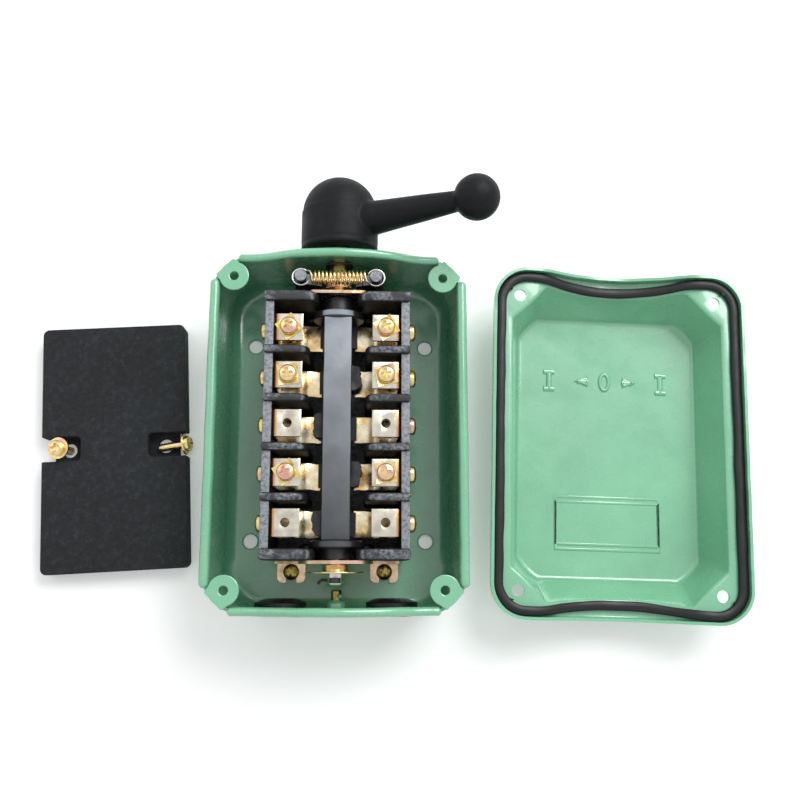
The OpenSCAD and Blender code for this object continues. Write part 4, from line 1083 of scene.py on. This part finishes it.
def makeDrum():
    bm = bmesh.new()
    low, high = drum["barY"]
    r, journal, step = drum["r"], drum["journal"], drum["step"]
    addBox(bm, (-drum["bar"], low, drum["barZ"][0]), (drum["bar"], high, drum["barZ"][1]))
    roundEdges(bm, bm.edges[:], drum["edge"], 3)
    for k in range(-14, 15):
        cutAcross(bm, 1, k * 3)
    for v in bm.verts:                       # edges of the moulded bar waver a little
        v.co.x += noise.noise(Vector((math.copysign(3, v.co.x), v.co.y * 90, 0))) * drum["waver"] * mm
    for end, inner, way in ((drum["ends"][0], low, -1), (drum["ends"][1], high, 1)):
        outer = inner + way * drum["flange"]
        turned(bm, [(0, inner), (r - 0.5, inner), (r - 0.1, inner + way * 0.4), (r - 0.1, outer - way * 0.5),
                    (r - 0.6, outer), (r - 1.6, outer - way * step), (journal + 0.6, outer - way * step),
                    (journal, outer + way * step), (journal, end - way * step), (journal - step, end),
                    (0, end)])
    turned(bm, [(0, low), (drum["core"], low), (drum["core"], high), (0, high)], 24)
    for side, seed, lobes in ((-1, 0.3, drum["leftLobes"]), (1, 7.7, drum["rightLobes"])):
        for k in lobes:
            joinInto(bm, lobeShape(side, rows[k], k + seed))
    for y in rows:                           # carriers of the moving contacts, behind the bar
        part = bmesh.new()
        addRod(part, (0, y, drum["z"]), drum["carrier"], drum["carrierL"], (0, 1, 0), 40)
        cut = cutAcross(part, 2, drum["carrierZ"], clear_outer=True)["geom_cut"]
        bmesh.ops.holes_fill(part, edges=[g for g in cut if isinstance(g, bmesh.types.BMEdge)])
        joinInto(bm, part)
    newPiece(bm, "drumMoulding", "drum", drumGrey, 40)


makeDrum()
print("drum made")


# Pieces that keep their CAD form with rounded edges

roundings = {
    "lid_lugs": 0.35, "cable_plugs": 0.5, "earth_nut": 0.3,
    "top_bracket": 0.3, "bottom_bracket": 0.3, "shaft": 0.3, "moving_contacts": 0.2, "detent_cam": 0.3,
    "retaining_ring": 0.2, "shaft_washer": 0.2, "cotter_pin": 0.15, "left_lever": 0.35, "right_lever": 0.35,
    "lever_pins": 0.3, "insulating_cover": 0.5, "cover_washers": 0.15,
    "cover_screws": 0.15,
}
plugFace = -69.7
paintBlob = {"place": (1.5, -62.4, 22.2), "size": 0.9}

for node, width in roundings.items():
    name = "".join(word.capitalize() if k else word for k, word in enumerate(node.split("_")))
    dark = finishes["black_steel"] if node == "cotter_pin" else None
    bm = softEdges(node, width)
    if node == "earth_nut":                  # a blob of paint left on the thread
        blob = bmesh.new()
        bmesh.ops.create_icosphere(blob, subdivisions=3, radius=paintBlob["size"] * mm)
        joinInto(bm, blob, at(paintBlob["place"]))
    if node == "cable_plugs":                # the soft outer flange is pressed flat on the wall
        for v in bm.verts:
            v.co.y = max(v.co.y, plugFace * mm)
    newPiece(bm, name, node, dark, 20)
print("cast and stamped pieces made")


# Floor, light and camera

studio = {"floor": 6.0, "ambient": 0.66, "backdrop": 0.92, "paper": 0.2, "white": (0.9, 0.91, 0.91, 1),
          "lamps": {"key": ((0.5, 0.65, 0.95), 0.7, 10.5), "fill": ((-0.9, 0.5, 0.8), 0.8, 1.2)},
          "aim": (0.03, 0, 0)}
lens = {"sensor": 36, "focal": 40.5, "place": (9.9, -50.7, 376.9), "turn": (10.42, -2.37, 0.02), "near": 0.01}


def makeStudio():
    bpy.ops.mesh.primitive_plane_add(size=studio["floor"])
    floor = bpy.context.object
    floor.name = "floor"
    material, tree, shader = startFinish("floorPaper", 0.9, specular=0.1)
    dial(shader, Base_Color=studio["white"], Emission_Color=(1, 1, 1, 1))
    path = tree.nodes.new("ShaderNodeLightPath")
    seen = mathValue(tree, "MULTIPLY", path.outputs["Is Camera Ray"], studio["paper"])
    tree.links.new(seen, shader.inputs["Emission Strength"])
    floor.data.materials.append(material)

    world = bpy.data.worlds.new("studio")
    bpy.context.scene.world = world
    world.use_nodes = True
    tree = world.node_tree
    backdrop = tree.nodes["Background"]
    dial(backdrop, Color=(1, 1, 1, 1))
    path = tree.nodes.new("ShaderNodeLightPath")
    total = path.outputs["Is Camera Ray"]
    for ray in ("Is Glossy Ray", "Is Transmission Ray"):
        total = mathValue(tree, "MAXIMUM", total, path.outputs[ray])
    level = tree.nodes.new("ShaderNodeMapRange")
    dial(level, To_Min=studio["ambient"], To_Max=studio["backdrop"])
    tree.links.new(total, level.inputs["Value"])
    tree.links.new(level.outputs["Result"], backdrop.inputs["Strength"])

    for name, (place, size, power) in studio["lamps"].items():
        lamp = bpy.data.lights.new(name, "AREA")
        lamp.size = size
        lamp.energy = power
        holder = looseObject(lamp, name)
        holder.location = place
        holder.rotation_euler = (Vector(studio["aim"]) - Vector(place)).to_track_quat("-Z", "Y").to_euler()


def makeCamera():
    camera = bpy.data.cameras.new("camera")
    camera.sensor_width = lens["sensor"]
    camera.lens = lens["focal"]
    holder = looseObject(camera, "camera")
    holder.location = Vector(lens["place"]) * mm
    holder.rotation_euler = [math.radians(a) for a in lens["turn"]]
    camera.clip_start = lens["near"]
    bpy.context.scene.camera = holder


makeStudio()
makeCamera()
bpy.context.scene.view_settings.view_transform = "Standard"
bpy.context.view_layer.update()
print("scene ready")
